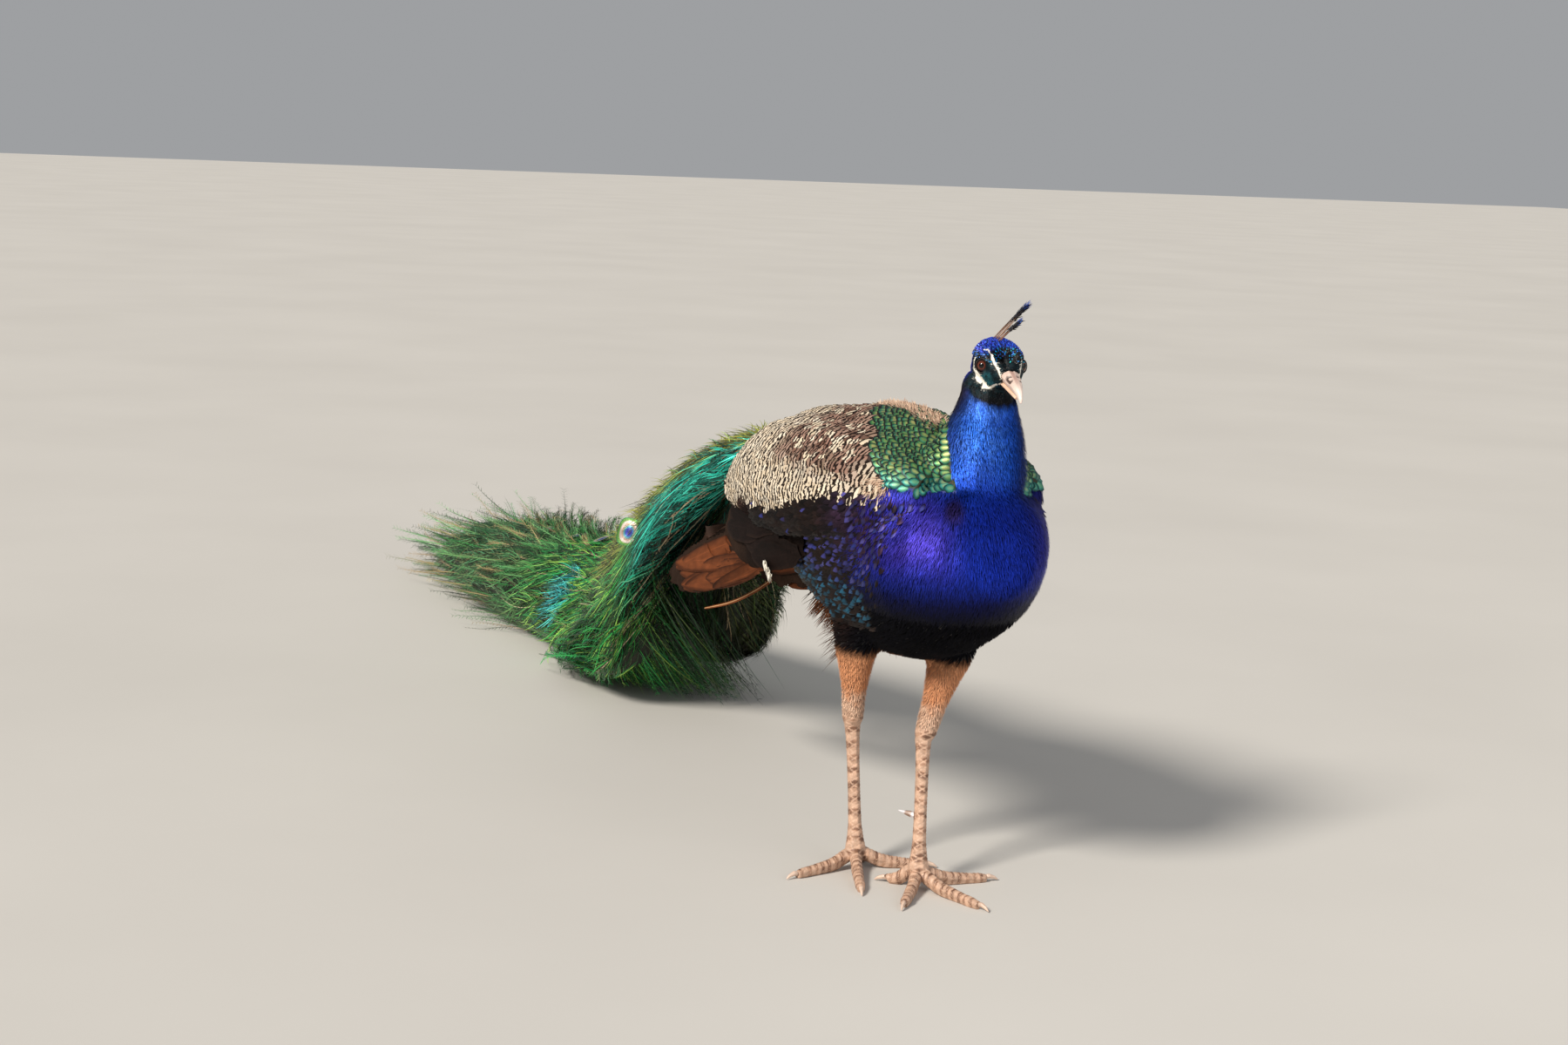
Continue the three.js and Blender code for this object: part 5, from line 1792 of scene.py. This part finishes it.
def train_ocelli(form, feathers, rng):
    """Eyespots at the feathers' ends: cupped discs of close barbs, lying on the train."""
    rings, turns = 12, 28
    spots = [EYESPOT_NEAR]
    for i in range(feathers.count):
        y, angle, _ = feathers.at(np.array([i]), np.array([1.0]))
        if 20 < from_left(angle[0]) < 120 and 620 < y[0] < 1840 and rng.random() < 0.3:
            spots.append((y[0] - 20, angle[0], rng.uniform(0.85, 1.1)))
    spots = np.array(spots)
    along, around, size = spots.T
    r = np.linspace(0, 1, rings)[None, :, None]
    turn = np.linspace(0, 2 * math.pi, turns)[None, None, :]
    ragged = 1 + 0.07 * np.sin(turn * 23 + 5) * r ** 3
    half = 21 * size[:, None, None]
    ahead = half * 1.18 * r * np.cos(turn) * ragged
    across = half * 0.88 * r * np.sin(turn) * ragged
    y = along[:, None, None] + ahead
    radius = np.maximum(form.radius(along, around), 25)[:, None, None]
    angle = around[:, None, None] + np.degrees(across / radius)
    cup = 7.0 + 1.6 * r ** 2
    grid = form.place(y, angle, cup * np.ones_like(y))
    heart = form.place(np.array(spots[0, 0]), np.array(spots[0, 1]), 11.0)
    facing = unit(np.array([-0.75, -0.62, 0.25]))
    ahead_way = unit(np.cross(facing, [0.35, 0.0, 1.0]))
    across_way = np.cross(facing, ahead_way)
    grid[0] = (heart + ahead[0, ..., None] * ahead_way * 0.8 + across[0, ..., None] * across_way * 1.3
               + facing * (2 * r[0, ..., None] ** 2))
    stuff = feather_stuff("eyespots", 24.0, 0.12, 0.3, Roughness=0.32, Metallic=0.4)
    one_coat("train_eyespots", stuff, "train_feathers", grid, ocellus_colour(r, turn),
             form.map(along, around), rng.random(len(spots)), 0.03)


HANG_ENDS = np.array([[65, 1110], [63, 975], [100, 890], [185, 785]])  # x, y on the floor where strands end
HANG_SHARES = (0.0, 0.35, 0.6, 1.0)


def side_barbs(paths, up, stations, long, rng):
    """Short barbs on both sides of each path, with the way up there and the path that each belongs to.

    paths and up: paths x rows x 3; stations: how many barbs along each side.
    """
    count, rows = paths.shape[:2]
    place = np.broadcast_to(np.linspace(0.12, 0.97, stations)[None], (count, stations)) * (rows - 1)
    low = np.minimum(place.astype(int), rows - 2)
    which = np.arange(count)[:, None]
    run = paths[which, low + 1] - paths[which, low]
    roots = paths[which, low] + run * (place - low)[..., None]
    heading = unit(run)
    across = unit(np.cross(heading, up[which, low]))
    t = np.linspace(0, 1, 3)[:, None]
    barbs, ups = [], []
    for side in (1, -1):
        reach = long * rng.uniform(0.6, 1.3, (count, stations))[..., None, None]
        way = unit(heading * 0.8 + across * side * rng.uniform(0.4, 0.9, (count, stations, 1))
                   + rng.normal(0, 0.12, heading.shape))
        barbs.append((roots[..., None, :] + way[..., None, :] * t * reach).reshape(-1, 3, 3))
        ups.append(np.repeat(up[which, low].reshape(-1, 1, 3), 3, axis=1))
    return np.concatenate(barbs), np.concatenate(ups), np.tile(np.repeat(np.arange(count), stations), 2)


def add_side_barbs(coat, paths, up, stations, long, tint, spread, place, ids, rng):
    """Barbs along strands, each lighter or darker than its strand by a share within the spread."""
    barbs, barb_up, which = side_barbs(paths, up, stations, long, rng)
    barbs[..., 2] = np.maximum(barbs[..., 2], 0.5)
    hue = bright(tint[which], rng, *spread, len(which))
    coat.add(ribbons(barbs, barb_up, 0.8), hue, place[which], ids[which])


def train_strands(form, rng):
    """Long strands that hang from the train's right side, fan out, and curl on the floor towards the legs."""
    total, rows = STRANDS, 12
    t = np.linspace(0, 1, rows)[None, :]
    share = rng.random(total)
    start_y = 900 - 310 * share + rng.normal(0, 22, total)
    start_angle = 190 + 34 * rng.random(total)
    start = form.place(start_y, start_angle, rng.uniform(-2, 6, total))
    on_floor = [np.interp(share, HANG_SHARES, HANG_ENDS[:, i]) + rng.normal(0, 26, total) for i in (0, 1)]
    end = columns(*on_floor, np.abs(rng.normal(0, 9, total)) + 1.5)
    belly = (start + end) / 2 + columns(-34 + rng.normal(0, 14, total), 24 + rng.normal(0, 16, total),
                                        24 + rng.normal(0, 14, total))
    s = t[..., None]
    path = start[:, None] * (1 - s) ** 2 + belly[:, None] * 2 * s * (1 - s) + end[:, None] * s ** 2
    path[..., 2] = np.maximum(path[..., 2], FLOOR_GAP)
    up = np.broadcast_to(unit(np.array([-0.7, -0.5, 0.5])), path.shape)
    width = np.where(np.arange(total) % 3 == 0, 1.9, rng.uniform(0.7, 1.3, total))
    shade = 1.1 - 0.85 * smooth(0.5, 0.95, share)
    tint = train_colour(np.full(total, 1040.0), start_angle - 20, rng, np.arange(total)) * shade[:, None]
    place, ids = form.map(start_y, start_angle), rng.random(total)
    coat = Coat()
    coat.add(ribbons(path, up, width), tint[:, None, None] * (0.6 + 0.7 * down(rows)), place, ids)
    herl = slice(0, None, 3)  # every third strand has barbs
    add_side_barbs(coat, path[herl], up[herl], 20, 6.5, tint[herl], (0.6, 1.5), place[herl], ids[herl], rng)
    stuff = feather_stuff("train_strands", 1.0, 0.2, 0.1, Roughness=0.38, Metallic=0.35)
    coat.build("train_strands", stuff, "train_feathers")


def train_wisps(form, rng):
    """Loose curls on the rear of the train, and whiskers that stand out beyond its end."""
    total, rows = WISPS, 14
    curly = np.arange(total) % 3 == 0

    def either(curl_range, whisker_range):
        return np.where(curly, rng.uniform(*curl_range, total), rng.uniform(*whisker_range, total))

    y = either((1150, 1480), (1250, 1890))
    angle = either((70, 125), (50, 215))
    start = form.place(y, angle, rng.uniform(-3, 3, total))
    outward = form.outward(angle)
    last = form.y[-1] + 45
    long = np.minimum(either((40, 80), (50, 150)), last - y)
    curl = either((2.2, 4.4), (-0.5, 0.4))
    rise = either((0.0, 0.4), (0.02, 0.28))
    t = np.linspace(0, 1, rows)[None, :]
    turn = curl[:, None] * t ** 1.6 + rise[:, None]
    step = columns(np.cos(turn), np.sin(turn)) * (long / (rows - 1))[:, None, None]
    run = np.cumsum(np.concatenate([np.zeros((total, 1, 2)), step[:, 1:]], axis=1), axis=1)
    back = unit(columns(rng.normal(-0.1, 0.25, total), 1.0, rng.normal(0, 0.05, total)))
    path = start[:, None] + back[:, None] * run[..., :1] + outward[:, None] * run[..., 1:] * 0.8
    path[..., 2] = np.maximum(path[..., 2], FLOOR_GAP)
    path[..., 0] = np.minimum(path[..., 0], CAD_BOX[1][0] / MM - ORIGIN[0] + 6)
    up = np.broadcast_to(outward[:, None], path.shape)
    tint = train_colour(np.full(total, 1350.0), angle, rng, np.arange(total))
    tint = mix(tint, rgb(196, 166, 120), (rng.random(total) < 0.2) * 0.8)
    place, ids = form.map(y, angle), rng.random(total)
    coat = Coat()
    coat.add(ribbons(path, up, rng.uniform(0.8, 1.8, total)), tint, place, ids)
    add_side_barbs(coat, path, up, 16, 9.0, tint, (0.5, 1.4), place, ids, rng)
    coat.build("train_wisps", bpy.data.materials["train_strands"], "train_feathers")


def under_plumage():
    """The closed vanes under the quills of the wings and the tail."""
    names = [f"wing_{part}_{side}" for side in SIDES for part in ("secondaries", "primaries")] + ["tail"]
    verts, faces = fused(names, 4.0, 4)
    verts = verts - corner_normals(verts, faces) * 1.2
    tint = layered(rgb(24, 16, 13), (RUFOUS * 0.6, smooth(250, 290, verts[:, 1])),
                   (rgb(44, 31, 24), smooth(94, 82, np.abs(verts[:, 0]))))
    stuff = speckled_stuff("quill_beds", 0.003, 0.001, 0.4, Roughness=0.85, Specular_IOR_Level=0.05)
    piece("quill_beds", verts, faces, tint, np.zeros_like(verts), body_map(verts), stuff, "flight_feathers",
          *names)


def make_train():
    """The train: its underlayer, shafts, barbs, eyespots, hanging strands and wisps."""
    rng = np.random.default_rng(31)
    form = TrainForm()
    feathers = TrainFeathers(rng)
    train_shade_layer(form)
    train_shafts(form, feathers, rng)
    train_barbs(form, feathers, rng)
    train_ocelli(form, feathers, rng)
    train_strands(form, rng)
    train_wisps(form, rng)


# ---------------------------------------------------------------- stage, light and camera

CAMERA_PLACE = np.array([-1314.0, -2273.0, 797.0])  # in the bird's millimetres
CAMERA_TURN = 27.0  # degrees the camera looks to the bird's left of straight ahead
CAMERA_PITCH = math.degrees(math.atan(439.6 / 2800))  # degrees it looks down
CAMERA_ROLL = 2.5
LENS = 56.0
FLOOR_REACH = 40.0  # metres from the middle of the floor to its edge


def make_camera():
    """The photo's view of the bird."""
    data = bpy.data.cameras.new("camera")
    data.lens = LENS
    data.sensor_width = 36.0
    data.clip_end = 100.0
    camera = placed("camera", data)
    turn = Matrix.Rotation(math.radians(-CAMERA_TURN), 4, "Z")
    pitch = Matrix.Rotation(math.radians(90 - CAMERA_PITCH), 4, "X")
    roll = Matrix.Rotation(math.radians(CAMERA_ROLL), 4, "Z")
    camera.matrix_world = Matrix.Translation(to_frame(CAMERA_PLACE)) @ turn @ pitch @ roll
    bpy.context.scene.camera = camera


def aimed(name, kind, place, power, colour, **fixed):
    """A lamp that looks at the bird."""
    data = bpy.data.lights.new(name, kind)
    data.energy = power
    data.color = colour
    for key, value in fixed.items():
        setattr(data, key, value)
    lamp = placed(name, data)
    lamp.location = to_frame(np.array(place))
    way = lamp.location - Vector(to_frame(np.array([0.0, 100.0, 300.0])))
    lamp.rotation_euler = way.to_track_quat("Z", "Y").to_euler()


def make_stage():
    """The pale floor, a soft sky and two lamps."""
    mesh = bpy.data.meshes.new("floor")
    corners = [(x * FLOOR_REACH, y * FLOOR_REACH, 0) for x, y in ((-1, -1), (1, -1), (1, 1), (-1, 1))]
    mesh.from_pydata(corners, [], [(0, 1, 2, 3)])
    mesh.materials.append(floor_stuff())
    placed("floor", mesh)
    world = bpy.data.worlds.new("studio")
    world.use_nodes = True
    sky = world.node_tree.nodes["Background"].inputs
    sky["Color"].default_value = (0.90, 0.92, 0.95, 1)
    sky["Strength"].default_value = 0.38
    bpy.context.scene.world = world
    bpy.context.scene.view_settings.view_transform = "Standard"
    aimed("key", "SUN", (-2600, -900, 2500), 3.8, (1.0, 0.95, 0.87), angle=math.radians(14))
    aimed("fill", "AREA", (900, -2900, 1500), 22, (0.95, 0.97, 1.0), size=2.5, shape="DISK")


make_camera()
make_stage()
body_shell, head_shell, leg_shell = make_shells()
make_skin(body_shell, head_shell, leg_shell)
body_skin, head_skin = Surface(*body_shell), Surface(*head_shell)
body_plumes(body_skin)
head_plumes(head_skin)
mantle_plumes(body_skin)
covert_plumes(body_skin)
back_fluff(body_skin)
vent_fringe(body_skin)
for each_side in SIDES:
    make_eye(each_side)
make_bill()
make_claws()
crest_feathers(head_skin)
under_plumage()
wing_quills()
loose_quills()
tail_quills()
make_train()
